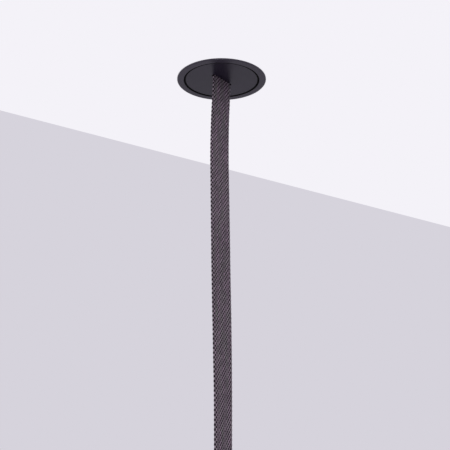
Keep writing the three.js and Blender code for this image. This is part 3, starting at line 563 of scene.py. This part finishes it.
def make_spring():
    """A sheet drawn down its path from a plane, rounded at its corners and given its thickness."""
    path = rounded_path(CLIP_PATH)
    first, second = path[0], path[1]
    middle = (first + second) / 2
    deselect_all()
    bpy.ops.mesh.primitive_plane_add(
        size=1, location=(middle.x * MM, 0, middle.y * MM), rotation=(0, math.radians(90), 0)
    )
    spring = name_piece("ceiling_spring_1")
    bpy.ops.object.mode_set(mode="EDIT")
    bpy.ops.mesh.select_mode(type="VERT")
    bpy.ops.transform.resize(
        value=(1, CLIP_WIDTH * MM, (first.y - second.y) * MM),
        center_override=(middle.x * MM, 0, middle.y * MM),
    )
    select_points(spring, lambda place: place.z < middle.y)
    for before, after in zip(path[1:], path[2:]):
        step = (after - before) * MM
        bpy.ops.mesh.extrude_region_move(
            TRANSFORM_OT_translate={"value": (step.x, 0, step.y)}
        )
    last = path[-1]
    select_points(
        spring,
        lambda place: abs(place.z - first.y) < 0.01
        or (abs(place.x - last.x) < 0.01 and abs(place.z - last.y) < 0.01),
    )
    bpy.ops.mesh.bevel(offset=CLIP_CORNER * MM, segments=5, affect="VERTICES")
    bpy.ops.object.mode_set(mode="OBJECT")
    sheet = spring.modifiers.new("thickness", "SOLIDIFY")
    sheet.thickness = CLIP_THICKNESS * MM
    sheet.offset = 0
    sheet.use_even_offset = True
    apply_modifier(spring, sheet)
    cut(spring, move(rod("hole", RIVET_HOLE, -3, 3), outwards(0, 0, RIVET_HEIGHT)))
    round_edges(spring, 0.12)
    return move(spring, outwards_flat(CLIP_ANGLES[0], CLIP_SEAT))


def make_rivet():
    """A shank through spring and can, with an oval head outside and the same one inside."""
    radius, height = RIVET_HEAD
    angles = np.radians((0, 18, 36, 54, 72, 84))
    outer = [(radius * math.cos(a), height * math.sin(a)) for a in angles]
    inner = [(out, -RIVET_GRIP - up) for out, up in outer[::-1]]
    shank = [(RIVET_SHANK, -RIVET_GRIP), (RIVET_SHANK, 0.0)]
    rivet = turned("spring_rivet_1", inner + shank + outer, 32)
    return move(rivet, outwards(CLIP_ANGLES[0], CLIP_SEAT + CLIP_THICKNESS + 0.3, RIVET_HEIGHT))


def make_ring_screw():
    screw = turned("ring_screw_1", ((1.2, -3.6), (1.5, -3.3), (1.5, -1.2), (2.7, 0.0)), 32)
    cut(screw, hexagon("socket", 2.0, -1.2, 1))
    round_edges(screw, 0.08)
    return move(screw, outwards(RING_SCREW_ANGLES[0], COLLAR_RADIUS, RING_SCREW_HEIGHT))


def repeat_round(piece, angles):
    """Copies a piece round the axis, from the first angle to the others."""
    made = [piece]
    for number, degrees in enumerate(angles[1:], start=2):
        turn = Matrix.Rotation(math.radians(degrees - angles[0]), 4, "Z")
        made.append(copy_piece(piece, piece.name.replace("_1", f"_{number}"), turn))
    return made


# Supply inlet and earthing point

def inlet_hexagon(name, heights, top_profile):
    """A hexagon whose corners are turned off at its lower end, and above by a profile."""
    low, high = heights
    body = hexagon(name, INLET_FLATS, low, high)
    corner = INLET_FLATS / math.sqrt(3)
    foot = [(INLET_FLATS / 2 - 0.2, low), (corner + 0.2, low + 0.8)]
    return combine(body, turned("limit", foot + top_profile, 64), "INTERSECT")


def make_inlet():
    body = inlet_hexagon("inlet_body", INLET_BODY, [(11.2, 54.5), (9.3, 55.3)])
    neck = turned("neck", ((7.6, 42.3), (8.0, 42.7), (8.0, 62.9), (7.6, 63.3)), 64)
    combine(body, neck, "UNION")
    cut(body, rod("bore", INLET_BORE, 40, 66, 48))
    cut(body, rod("seal_seat", INLET_SEAT, 59, 66, 48))
    round_edges(body, 0.15)

    seal = turned(
        "inlet_seal",
        ((3.6, 59.3), (5.2, 59.3), (5.2, 65.0), (4.4, 65.8), (3.6, 65.8), (3.6, 59.3)),
        64,
        solid=False,
    )
    round_edges(seal, 0.3, 3)

    dome = [(11.2, 63.2), (10.6, 65.0), (9.4, 66.3), (7.6, 67.2), (5.6, 67.6)]
    cap = inlet_hexagon("inlet_cap", INLET_CAP, dome)
    cut(cap, rod("thread_room", INLET_HOLE, 54, 63.6, 64))
    cut(cap, rod("seal_room", INLET_SEAT, 55, 66.1, 64))
    cut(cap, rod("bore", INLET_BORE, 55, 70, 64))
    round_edges(cap, 0.3, 3)
    return [move(piece, shift(*INLET_PLACE)) for piece in (body, seal, cap)]


def pan_screw(name, shank, head, head_height, length, socket):
    """A pan-head screw with a hexagon socket. The head stands on height 0."""
    dome = arc(head - 0.7, head_height - 0.7, 0.7, 0, 80, 4)
    profile = [(shank - 0.3, -length), (shank, 0.3 - length), (shank, 0.0), (head, 0.0), *dome]
    profile.append((head * 0.35, head_height))
    screw = turned(name, profile, 32)
    cut(screw, hexagon("socket", 2 * socket, head_height * 0.35, head_height * 2))
    round_edges(screw, 0.06)
    return screw


def make_earth_point():
    screw = pan_screw(
        "earthing_screw", shank=2.0, head=3.5, head_height=2.8, length=7.5, socket=1.5
    )
    plate = ((EARTH_HOLE, 0), (5, 0), (5, 0.8), (EARTH_HOLE, 0.8), (EARTH_HOLE, 0))
    washer = turned("earthing_washer", plate, 64, solid=False)
    round_edges(washer, 0.15)
    move(screw, shift(*EARTH_PLACE, CAN_TOP + 1.4))
    move(washer, shift(*EARTH_PLACE, CAN_TOP + 0.3))
    return screw, washer


# Clamp on the belt's lower end

def end_bar(name, y_from, y_to, z_from, z_to, round_from=None):
    """A flat bar from a cube. Its corners from one height on are round, seen from the front."""
    deselect_all()
    middle = (0, (y_from + y_to) / 2 * MM, (z_from + z_to) / 2 * MM)
    bpy.ops.mesh.primitive_cube_add(size=1, location=middle)
    bar = name_piece(name)
    bpy.ops.object.mode_set(mode="EDIT")
    bpy.ops.transform.resize(
        value=(2 * END_HALF_WIDTH * MM, (y_to - y_from) * MM, (z_to - z_from) * MM),
        center_override=middle,
    )
    if round_from is not None:
        mesh = bmesh.from_edit_mesh(bar.data)
        bpy.ops.mesh.select_all(action="DESELECT")
        for edge in mesh.edges:
            first, second = (point.co / MM for point in edge.verts)
            along_y = abs(first.y - second.y) > 0.1
            edge.select = along_y and first.z > round_from
        bmesh.update_edit_mesh(bar.data)
        bpy.ops.mesh.bevel(offset=END_CORNER * MM, segments=6, affect="EDGES")
    close_mesh()
    return bar


def make_end_clamp():
    """Two plates, the back one with a foot under the belt's end, and their screws and nuts."""
    foot_low, foot_high = END_FOOT
    front = end_bar("clamp_plate_front", -END_BACK, -END_FACE, 0, END_TOP, round_from=-1)
    back = end_bar("clamp_plate_back", END_FACE, END_BACK, foot_low, END_TOP, round_from=0)
    foot = end_bar("foot", -END_BACK, END_FACE + 0.2, foot_low, foot_high)
    combine(back, foot, "UNION")
    cut(back, rod("thread", END_THREAD, -5, 1, 48))
    pieces = [front, back]
    for plate in pieces:
        for side in (-1, 1):
            hole = rod("hole", SCREW_HOLE, -6, 6)
            cut(plate, move(hole, across_belt(side * END_SCREW_X, 0, END_SCREW_HEIGHT)))
        round_edges(plate, 0.35, 3)
    for side, label in ((-1, "left"), (1, "right")):
        screw = pan_screw(
            f"clamp_screw_{label}", shank=1.5, head=2.7, head_height=2.0, length=11.2, socket=1.15
        )
        x = side * END_SCREW_X
        pieces.append(move(screw, across_belt(x, -END_BACK - 0.3, END_SCREW_HEIGHT)))
        nut = hexagon(f"clamp_nut_{label}", 5.5, -1.2, 1.2)
        cut(nut, rod("hole", SCREW_HOLE, -3, 3))
        round_edges(nut, 0.2)
        pieces.append(move(nut, across_belt(x, END_BACK + 1.5, END_SCREW_HEIGHT)))
    return [move(piece, END_PLACE) for piece in pieces]


# Finishes

def add_node(tree, kind, settings=None, **inputs):
    """Adds a node, sets its properties, and sets or links its inputs.

    An input is named with underscores for spaces, or is i and its number.
    """
    made = tree.nodes.new(kind)
    for name, value in (settings or {}).items():
        setattr(made, name, value)
    for name, value in inputs.items():
        key = int(name[1:]) if name[1:].isdigit() else name.replace("_", " ")
        set_input(tree, made.inputs[key], value)
    return made


def set_input(tree, socket, value):
    if isinstance(value, bpy.types.NodeSocket):
        tree.links.new(value, socket)
    else:
        socket.default_value = value


def calculate(tree, operation, first, second=0.0, third=0.0, clamp=False):
    made = add_node(tree, "ShaderNodeMath", {"operation": operation, "use_clamp": clamp})
    for socket, value in zip(made.inputs, (first, second, third)):
        set_input(tree, socket, value)
    return made.outputs[0]


def blend_colours(tree, amount, first, second):
    made = add_node(tree, "ShaderNodeMix", {"data_type": "RGBA"})
    set_input(tree, made.inputs["Factor"], amount)
    set_input(tree, made.inputs[6], first)
    set_input(tree, made.inputs[7], second)
    return made.outputs[2]


def blend_values(tree, amount, first, second):
    made = add_node(tree, "ShaderNodeMix", {"data_type": "FLOAT"})
    for number, value in ((0, amount), (2, first), (3, second)):
        set_input(tree, made.inputs[number], value)
    return made.outputs[0]


def new_group(name, inputs, outputs):
    """An empty node group: inputs of (name, socket type, value) and outputs of (name, type)."""
    group = bpy.data.node_groups.new(name, "ShaderNodeTree")
    for label, kind, value in inputs:
        socket = group.interface.new_socket(label, in_out="INPUT", socket_type=kind)
        if value is not None:
            socket.default_value = value
    for label, kind in outputs:
        group.interface.new_socket(label, in_out="OUTPUT", socket_type=kind)
    entry = group.nodes.new("NodeGroupInput")
    leaving = group.nodes.new("NodeGroupOutput")
    return group, entry.outputs, leaving.inputs


def grain_group():
    """Fine grain and broad mottling of a coated, moulded or plated surface."""
    group, given, out = new_group(
        "surface_grain",
        [
            ("Vector", "NodeSocketVector", None),
            ("Grains per Metre", "NodeSocketFloat", 4000.0),
            ("Patches per Metre", "NodeSocketFloat", 60.0),
        ],
        [("Grain", "NodeSocketFloat"), ("Mottle", "NodeSocketFloat")],
    )
    grain = add_node(
        group, "ShaderNodeTexNoise", Vector=given["Vector"], Scale=given["Grains per Metre"],
        Detail=3.0, Roughness=0.55,
    )
    patches = add_node(
        group, "ShaderNodeTexNoise", Vector=given["Vector"], Scale=given["Patches per Metre"],
        Detail=4.0, Roughness=0.6,
    )
    group.links.new(grain.outputs[0], out["Grain"])
    group.links.new(patches.outputs[0], out["Mottle"])
    return group


def weave_group():
    """The weave from its map: relief, dives, grooves, tints, and how near the belt's edge."""
    group, given, out = new_group(
        "weave",
        [
            ("Vector", "NodeSocketVector", None),
            ("Repeats", "NodeSocketFloat", 1.0),
            ("Filaments", "NodeSocketFloat", 7.0),
        ],
        [
            ("Height", "NodeSocketFloat"),
            ("Dive", "NodeSocketFloat"),
            ("Groove", "NodeSocketFloat"),
            ("Yarn Tint", "NodeSocketFloat"),
            ("Float Shade", "NodeSocketFloat"),
            ("Streak", "NodeSocketFloat"),
            ("Edge", "NodeSocketFloat"),
        ],
    )
    parts = add_node(group, "ShaderNodeSeparateXYZ", Vector=given["Vector"])
    across = calculate(group, "MULTIPLY", parts.outputs[0], float(YARNS_ROUND))
    along = calculate(group, "MULTIPLY", parts.outputs[1], given["Repeats"])
    yarn = calculate(group, "FLOOR", across)
    in_yarn = calculate(group, "FRACT", across)
    phase = calculate(group, "SUBTRACT", along, calculate(group, "MULTIPLY", yarn, DIVE_STEP))
    from_dive = calculate(group, "PINGPONG", phase, 0.5)
    float_share = add_node(
        group, "ShaderNodeMapRange", {"interpolation_type": "SMOOTHSTEP"},
        Value=from_dive, From_Min=DIVE_FROM, From_Max=DIVE_TO,
    )
    crown = calculate(group, "SINE", calculate(group, "MULTIPLY", in_yarn, math.pi))
    round_yarn = calculate(group, "POWER", crown, 0.5)
    dive = calculate(group, "SUBTRACT", 1.0, float_share.outputs[0])
    dive = calculate(group, "MULTIPLY", dive, round_yarn)
    groove = calculate(group, "SUBTRACT", 1.0, round_yarn)

    # Filaments run along the yarn with its twist, and are uneven
    slant = calculate(group, "MULTIPLY", phase, 1.6)
    turns = calculate(group, "MULTIPLY", in_yarn, given["Filaments"])
    turns = calculate(group, "SUBTRACT", turns, slant)
    wave = calculate(group, "SINE", calculate(group, "MULTIPLY", turns, 2 * math.pi))
    finer = calculate(group, "MULTIPLY", across, 9.0)
    fibres = add_node(group, "ShaderNodeCombineXYZ", X=finer, Y=along)
    fluff = add_node(group, "ShaderNodeTexNoise", Vector=fibres.outputs[0], Scale=2.0, Detail=3.0)
    fine = calculate(group, "ADD", calculate(group, "MULTIPLY", wave, 0.5), fluff.outputs[0])
    height = calculate(group, "ADD", crown, calculate(group, "MULTIPLY", fine, 0.35))
    height = calculate(group, "SUBTRACT", height, dive)

    # Each yarn has its tint, each float its shade, and broad streaks run over them
    tint = add_node(group, "ShaderNodeTexWhiteNoise", {"noise_dimensions": "1D"}, W=yarn)
    cell = add_node(group, "ShaderNodeCombineXYZ", X=yarn, Y=calculate(group, "FLOOR", phase))
    float_shade = add_node(
        group, "ShaderNodeTexWhiteNoise", {"noise_dimensions": "2D"}, Vector=cell.outputs[0]
    )
    patches = add_node(
        group, "ShaderNodeCombineXYZ",
        X=calculate(group, "MULTIPLY", yarn, 0.35), Y=calculate(group, "MULTIPLY", along, 0.16),
    )
    streak = add_node(
        group, "ShaderNodeTexNoise", Vector=patches.outputs[0], Scale=1.0, Detail=3.0, Roughness=0.6
    )
    from_edge = calculate(group, "PINGPONG", parts.outputs[0], 0.25)
    edge = add_node(
        group, "ShaderNodeMapRange", {"interpolation_type": "SMOOTHSTEP"},
        Value=from_edge, From_Min=0.07, From_Max=0.02,
    )
    for label, socket in (
        ("Height", height), ("Dive", dive), ("Groove", groove),
        ("Yarn Tint", tint.outputs[0]), ("Float Shade", float_shade.outputs[0]),
        ("Streak", streak.outputs[0]), ("Edge", edge.outputs[0]),
    ):
        group.links.new(socket, out[label])
    return group


# Finishes of one grain: dark and light tone, range of roughness, metal, grains and patches in a
# metre, relief in millimetres, and a stretch where the grain is drawn out
PLAIN_FINISHES = {
    "satin_black": dict(
        dark=(0.014, 0.0098, 0.023), light=(0.0175, 0.0133, 0.028), roughness=(0.30, 0.38),
        metallic=0.0, grains=5000, patches=45, relief=0.006,
    ),
    # The ring's copy of the disc's satin black coat has a lighter colour: a painted sheen, for the
    # brighter light that the ring's face catches
    "satin_black_ring": dict(
        dark=(0.036, 0.030, 0.048), light=(0.041, 0.035, 0.053), roughness=(0.30, 0.38),
        metallic=0.0, grains=5000, patches=45, relief=0.006,
    ),
    "black_steel": dict(
        dark=(0.026, 0.026, 0.028), light=(0.048, 0.048, 0.051), roughness=(0.30, 0.46),
        metallic=0.6, grains=1500, patches=30, relief=0.01, stretch=(1, 1, 0.25),
    ),
    "zinc_plate": dict(
        dark=(0.42, 0.43, 0.42), light=(0.56, 0.57, 0.56), roughness=(0.25, 0.42),
        metallic=1.0, grains=2500, patches=120, relief=0.008,
    ),
    "spring_steel": dict(
        dark=(0.13, 0.13, 0.135), light=(0.21, 0.205, 0.2), roughness=(0.24, 0.4),
        metallic=1.0, grains=3000, patches=90, relief=0.008, stretch=(1, 1, 0.08),
    ),
    "nickel": dict(
        dark=(0.48, 0.46, 0.43), light=(0.6, 0.58, 0.55), roughness=(0.14, 0.24),
        metallic=1.0, grains=2500, patches=150, relief=0.004,
    ),
    "brass": dict(
        dark=(0.42, 0.27, 0.08), light=(0.56, 0.37, 0.12), roughness=(0.22, 0.36),
        metallic=1.0, grains=2500, patches=150, relief=0.006,
    ),
    "white_nylon": dict(
        dark=(0.72, 0.71, 0.66), light=(0.8, 0.79, 0.74), roughness=(0.4, 0.52),
        metallic=0.0, grains=3500, patches=80, relief=0.012,
    ),
    "black_nylon": dict(
        dark=(0.011, 0.011, 0.012), light=(0.018, 0.018, 0.02), roughness=(0.42, 0.56),
        metallic=0.0, grains=3500, patches=80, relief=0.02,
    ),
    "black_rubber": dict(
        dark=(0.006, 0.006, 0.006), light=(0.011, 0.011, 0.011), roughness=(0.65, 0.8),
        metallic=0.0, grains=3000, patches=100, relief=0.015,
    ),
    "grey_insulation": dict(
        dark=(0.06, 0.055, 0.062), light=(0.08, 0.073, 0.082), roughness=(0.4, 0.5),
        metallic=0.0, grains=3000, patches=100, relief=0.006,
    ),
}


def plain_finish(
    name, grain, dark, light, roughness, metallic, grains, patches, relief, stretch=(1, 1, 1)
):
    """A finish with two tones, uneven gloss and a fine relief, all from one grain."""
    finish = bpy.data.materials.new(name)
    finish.use_nodes = True
    tree = finish.node_tree
    shader = tree.nodes["Principled BSDF"]
    shader.inputs["Metallic"].default_value = metallic
    place = add_node(tree, "ShaderNodeTexCoord").outputs["Object"]
    mapping = add_node(tree, "ShaderNodeMapping", Vector=place, Scale=stretch)
    texture = add_node(tree, "ShaderNodeGroup", {"node_tree": grain})
    tree.links.new(mapping.outputs[0], texture.inputs["Vector"])
    texture.inputs["Grains per Metre"].default_value = grains
    texture.inputs["Patches per Metre"].default_value = patches
    fine = texture.outputs["Grain"]
    mottle_share = calculate(tree, "MULTIPLY", texture.outputs["Mottle"], 0.6)
    tone = calculate(tree, "ADD", mottle_share, calculate(tree, "MULTIPLY", fine, 0.4))
    tree.links.new(blend_colours(tree, tone, (*dark, 1), (*light, 1)), shader.inputs["Base Color"])
    gloss = add_node(tree, "ShaderNodeMapRange", Value=tone, From_Min=0.3, From_Max=0.7)
    gloss.inputs["To Min"].default_value = roughness[0]
    gloss.inputs["To Max"].default_value = roughness[1]
    tree.links.new(gloss.outputs[0], shader.inputs["Roughness"])
    bump = add_node(tree, "ShaderNodeBump", Height=fine, Strength=0.5, Distance=relief * MM)
    tree.links.new(bump.outputs[0], shader.inputs["Normal"])
    return finish


def paint_gap_shade(finish, unshaded_radius, shaded_radius):
    """Lets a coat go dark and dull between two radii, beside the shadow gap: the dark colour is
    painted shade in the gap, and the coat there is rougher.
    """
    tree = finish.node_tree
    shader = tree.nodes["Principled BSDF"]
    place = add_node(tree, "ShaderNodeTexCoord").outputs["Object"]
    parts = add_node(tree, "ShaderNodeSeparateXYZ", Vector=place)
    flat = add_node(tree, "ShaderNodeCombineXYZ", X=parts.outputs[0], Y=parts.outputs[1])
    radius = add_node(tree, "ShaderNodeVectorMath", {"operation": "LENGTH"}, i0=flat.outputs[0])
    gap_shade = add_node(
        tree, "ShaderNodeMapRange", Value=radius.outputs["Value"],
        From_Min=unshaded_radius * MM, From_Max=shaded_radius * MM,
    ).outputs[0]
    colour = shader.inputs["Base Color"].links[0].from_socket
    gloss = shader.inputs["Roughness"].links[0].from_socket
    # Painted shade: the colour goes near black in the shadow gap
    painted_shade = blend_colours(tree, gap_shade, colour, (0.002, 0.002, 0.002, 1))
    tree.links.new(painted_shade, shader.inputs["Base Color"])
    tree.links.new(blend_values(tree, gap_shade, gloss, 0.95), shader.inputs["Roughness"])


def belt_finish(weave, repeats):
    """Plum and slate yarns, dark where they dive and paler on the belt's edges."""
    finish = bpy.data.materials.new("woven_belt")
    finish.use_nodes = True
    tree = finish.node_tree
    shader = tree.nodes["Principled BSDF"]
    shader.inputs["Specular IOR Level"].default_value = 0.25
    shader.inputs["Roughness"].default_value = 0.8
    weave_map = add_node(tree, "ShaderNodeUVMap", {"uv_map": "weave"})
    woven = add_node(tree, "ShaderNodeGroup", {"node_tree": weave})
    tree.links.new(weave_map.outputs[0], woven.inputs["Vector"])
    woven.inputs["Repeats"].default_value = repeats
    plum = (0.300, 0.212, 0.286, 1)
    slate = (0.224, 0.207, 0.214, 1)
    pale = (0.50, 0.42, 0.49, 1)
    worn = (0.07, 0.055, 0.07, 1)
    shadow = (0.010, 0.006, 0.010, 1)
    streak = add_node(
        tree, "ShaderNodeMapRange", Value=woven.outputs["Streak"], From_Min=0.42, From_Max=0.62
    )
    streak_share = calculate(tree, "MULTIPLY", streak.outputs[0], 0.65)
    tint_share = calculate(tree, "MULTIPLY", woven.outputs["Yarn Tint"], 0.35)
    mixed = calculate(tree, "ADD", tint_share, streak_share, clamp=True)
    yarn = blend_colours(tree, mixed, plum, slate)
    edge_share = calculate(tree, "MULTIPLY", woven.outputs["Edge"], 0.4)
    yarn = blend_colours(tree, edge_share, yarn, pale)
    worn_share = calculate(tree, "MULTIPLY", woven.outputs["Float Shade"], 0.5)
    yarn = blend_colours(tree, worn_share, yarn, worn)
    # The dives and the grooves between the yarns go towards the shadow colour: painted shade in the
    # pits and grooves, with the darker weft that shows in the dives
    wider = calculate(tree, "MULTIPLY_ADD", woven.outputs["Edge"], 2.0, third=1.0)
    depth = calculate(tree, "MULTIPLY", woven.outputs["Dive"], wider)
    groove_share = calculate(tree, "MULTIPLY", woven.outputs["Groove"], 0.55)
    depth = calculate(tree, "ADD", depth, groove_share, clamp=True)
    tree.links.new(blend_colours(tree, depth, yarn, shadow), shader.inputs["Base Color"])
    bump = add_node(
        tree, "ShaderNodeBump", Height=woven.outputs["Height"], Strength=0.7, Distance=0.2 * MM
    )
    tree.links.new(bump.outputs[0], shader.inputs["Normal"])
    return finish


def make_finishes(repeats):
    grain = grain_group()
    weave = weave_group()
    made = {name: plain_finish(name, grain, **values) for name, values in PLAIN_FINISHES.items()}
    # Painted shade in the shadow gap, on the ring's inner edge and on the disc's rim
    paint_gap_shade(made["satin_black_ring"], 36.35, 36.15)
    paint_gap_shade(made["satin_black"], 34.15, 34.35)
    made["woven_belt"] = belt_finish(weave, repeats)
    return made


# Stage and light

def stage_piece(name, points, faces, material):
    """A piece of the room. A face whose points run clockwise, seen from above, looks down."""
    mesh = bpy.data.meshes.new(name)
    mesh.from_pydata([[length * MM for length in point] for point in points], [], faces)
    sheet = bpy.data.objects.new(name, mesh)
    bpy.context.scene.collection.objects.link(sheet)
    mesh.materials.append(material)


def circle_points(radius, height, sides):
    angles = np.radians(np.arange(sides) * 360 / sides)
    return [(radius * math.cos(a), radius * math.sin(a), height) for a in angles]


def ceiling_finish():
    """A plain pale ceiling, seen from below only. From above, it lets all light through."""
    finish = bpy.data.materials.new("pale_ceiling")
    finish.use_nodes = True
    tree = finish.node_tree
    tree.nodes.clear()
    side = add_node(tree, "ShaderNodeNewGeometry")
    paint = add_node(tree, "ShaderNodeEmission", Color=CEILING_COLOUR, Strength=1.0)
    clear = add_node(tree, "ShaderNodeBsdfTransparent")
    one_sided = add_node(tree, "ShaderNodeMixShader", i0=side.outputs["Backfacing"])
    tree.links.new(paint.outputs[0], one_sided.inputs[1])
    tree.links.new(clear.outputs[0], one_sided.inputs[2])
    out = add_node(tree, "ShaderNodeOutputMaterial")
    tree.links.new(one_sided.outputs[0], out.inputs["Surface"])
    return finish


def floor_finish():
    """A matt floor that keeps the shadow, and looks paler to the camera and in a gloss."""
    finish = bpy.data.materials.new("pale_floor")
    finish.use_nodes = True
    tree = finish.node_tree
    tree.nodes.clear()
    path = add_node(tree, "ShaderNodeLightPath")
    paint = add_node(tree, "ShaderNodeBsdfDiffuse", Color=FLOOR_PAINT)
    seen = add_node(tree, "ShaderNodeEmission", Color=FLOOR_SEEN, Strength=1.0)
    share = calculate(tree, "MULTIPLY", path.outputs["Is Camera Ray"], FLOOR_SEEN_BY_CAMERA)
    share = calculate(
        tree, "MULTIPLY_ADD", path.outputs["Is Glossy Ray"], FLOOR_SEEN_IN_GLOSS, third=share
    )
    both = add_node(tree, "ShaderNodeMixShader", i0=share)
    tree.links.new(paint.outputs[0], both.inputs[1])
    tree.links.new(seen.outputs[0], both.inputs[2])
    out = add_node(tree, "ShaderNodeOutputMaterial")
    tree.links.new(both.outputs[0], out.inputs["Surface"])
    return finish


def light_world():
    """Soft light from all sides. The camera and glossy surfaces see a pale wall."""
    world = bpy.data.worlds.new("room")
    bpy.context.scene.world = world
    world.use_nodes = True
    tree = world.node_tree
    tree.nodes.clear()
    path = add_node(tree, "ShaderNodeLightPath")
    seen = calculate(tree, "MAXIMUM", path.outputs["Is Camera Ray"], path.outputs["Is Glossy Ray"])
    room = add_node(tree, "ShaderNodeBackground", Color=ROOM_COLOUR, Strength=ROOM_STRENGTH)
    wall = add_node(tree, "ShaderNodeBackground", Color=WALL_COLOUR, Strength=1.0)
    both = add_node(tree, "ShaderNodeMixShader", i0=seen)
    tree.links.new(room.outputs[0], both.inputs[1])
    tree.links.new(wall.outputs[0], both.inputs[2])
    out = add_node(tree, "ShaderNodeOutputWorld")
    tree.links.new(both.outputs[0], out.inputs["Surface"])


def hang_lamp(name, place, target, size, power):
    lamp = bpy.data.lights.new(name, "AREA")
    lamp.shape = "SQUARE"
    lamp.size = size * MM
    lamp.energy = power
    lamp_object = bpy.data.objects.new(name, lamp)
    lamp_object.location = Vector(place) * MM
    aim = (Vector(target) - Vector(place)).to_track_quat("-Z", "Y")
    lamp_object.rotation_euler = aim.to_euler()
    bpy.context.scene.collection.objects.link(lamp_object)


def set_stage():
    ceiling = ceiling_finish()
    board = circle_points(BOARD_HOLE, BOARD_HEIGHT, CIRCLE_SIDES)
    board += circle_points(BOARD_RADIUS, BOARD_HEIGHT, CIRCLE_SIDES)
    strips = []
    for here in range(CIRCLE_SIDES):
        after = (here + 1) % CIRCLE_SIDES
        strips.append((here, after, CIRCLE_SIDES + after, CIRCLE_SIDES + here))
    stage_piece("ceiling_board", board, strips, ceiling)
    far = [(x, y, HIGH_CEILING) for x, y in CEILING_FAR]
    stage_piece("ceiling_far", far, [(0, 1, 2, 3)], ceiling)
    floor = circle_points(FLOOR_RADIUS, FLOOR_HEIGHT, CIRCLE_SIDES)
    stage_piece("floor", floor, [tuple(range(CIRCLE_SIDES))], floor_finish())
    light_world()
    for name, lamp in LAMPS.items():
        hang_lamp(name, *lamp)


# Making it all

def finish_piece(piece, node, slot, finish=None):
    """Shades a piece, gives it its finish, and puts it in the place of its CAD node."""
    smooth(piece)
    piece.data.materials.clear()
    piece.data.materials.append(finishes[finish or slot])
    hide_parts(node)
    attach(piece, "root")


place_camera()
belt, repeats = weave_belt()
finishes = make_finishes(repeats)
belt.data.materials.append(finishes["woven_belt"])
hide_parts("belt")
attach(belt, "root")

# The ring gets the lighter copy of the satin black, with its painted sheen
finish_piece(make_ring(), "trim_ring", "satin_black", "satin_black_ring")
finish_piece(make_disc(), "cover_disc", "satin_black")
finish_piece(make_can(), "housing_can", "black_steel")
for make, angles, node, slot in (
    (make_spring, CLIP_ANGLES, "spring_clip", "spring_steel"),
    (make_rivet, CLIP_ANGLES, "clip_rivet", "nickel"),
    (make_ring_screw, RING_SCREW_ANGLES, "can_screw", "zinc_plate"),
):
    for number, piece in enumerate(repeat_round(make(), angles), start=1):
        finish_piece(piece, f"{node}_{number}", slot)

inlet_slots = (
    ("gland_body", "black_nylon"), ("gland_seal", "black_rubber"), ("gland_cap", "black_nylon"),
)
for piece, (node, slot) in zip(make_inlet(), inlet_slots):
    finish_piece(piece, node, slot)
for piece, node in zip(make_earth_point(), ("earth_screw", "earth_washer")):
    finish_piece(piece, node, "brass")

end_clamp = make_end_clamp()
end_nodes = (
    "end_plate_front", "end_plate_back", "end_screw_left", "end_nut_left",
    "end_screw_right", "end_nut_right",
)
for piece, node in zip(end_clamp, end_nodes):
    finish_piece(piece, node, "black_steel")

# The CAD nodes that still show keep their shape and get the finish of their slot
slots = {part["node"]: part["material_slot"] for part in frame["record"]["subparts"]}
for name, node in frame["nodes"].items():
    if not node.hide_render:
        node.data.materials.clear()
        node.data.materials.append(finishes[slots[name]])

set_stage()

bpy.context.scene.view_settings.view_transform = "Standard"
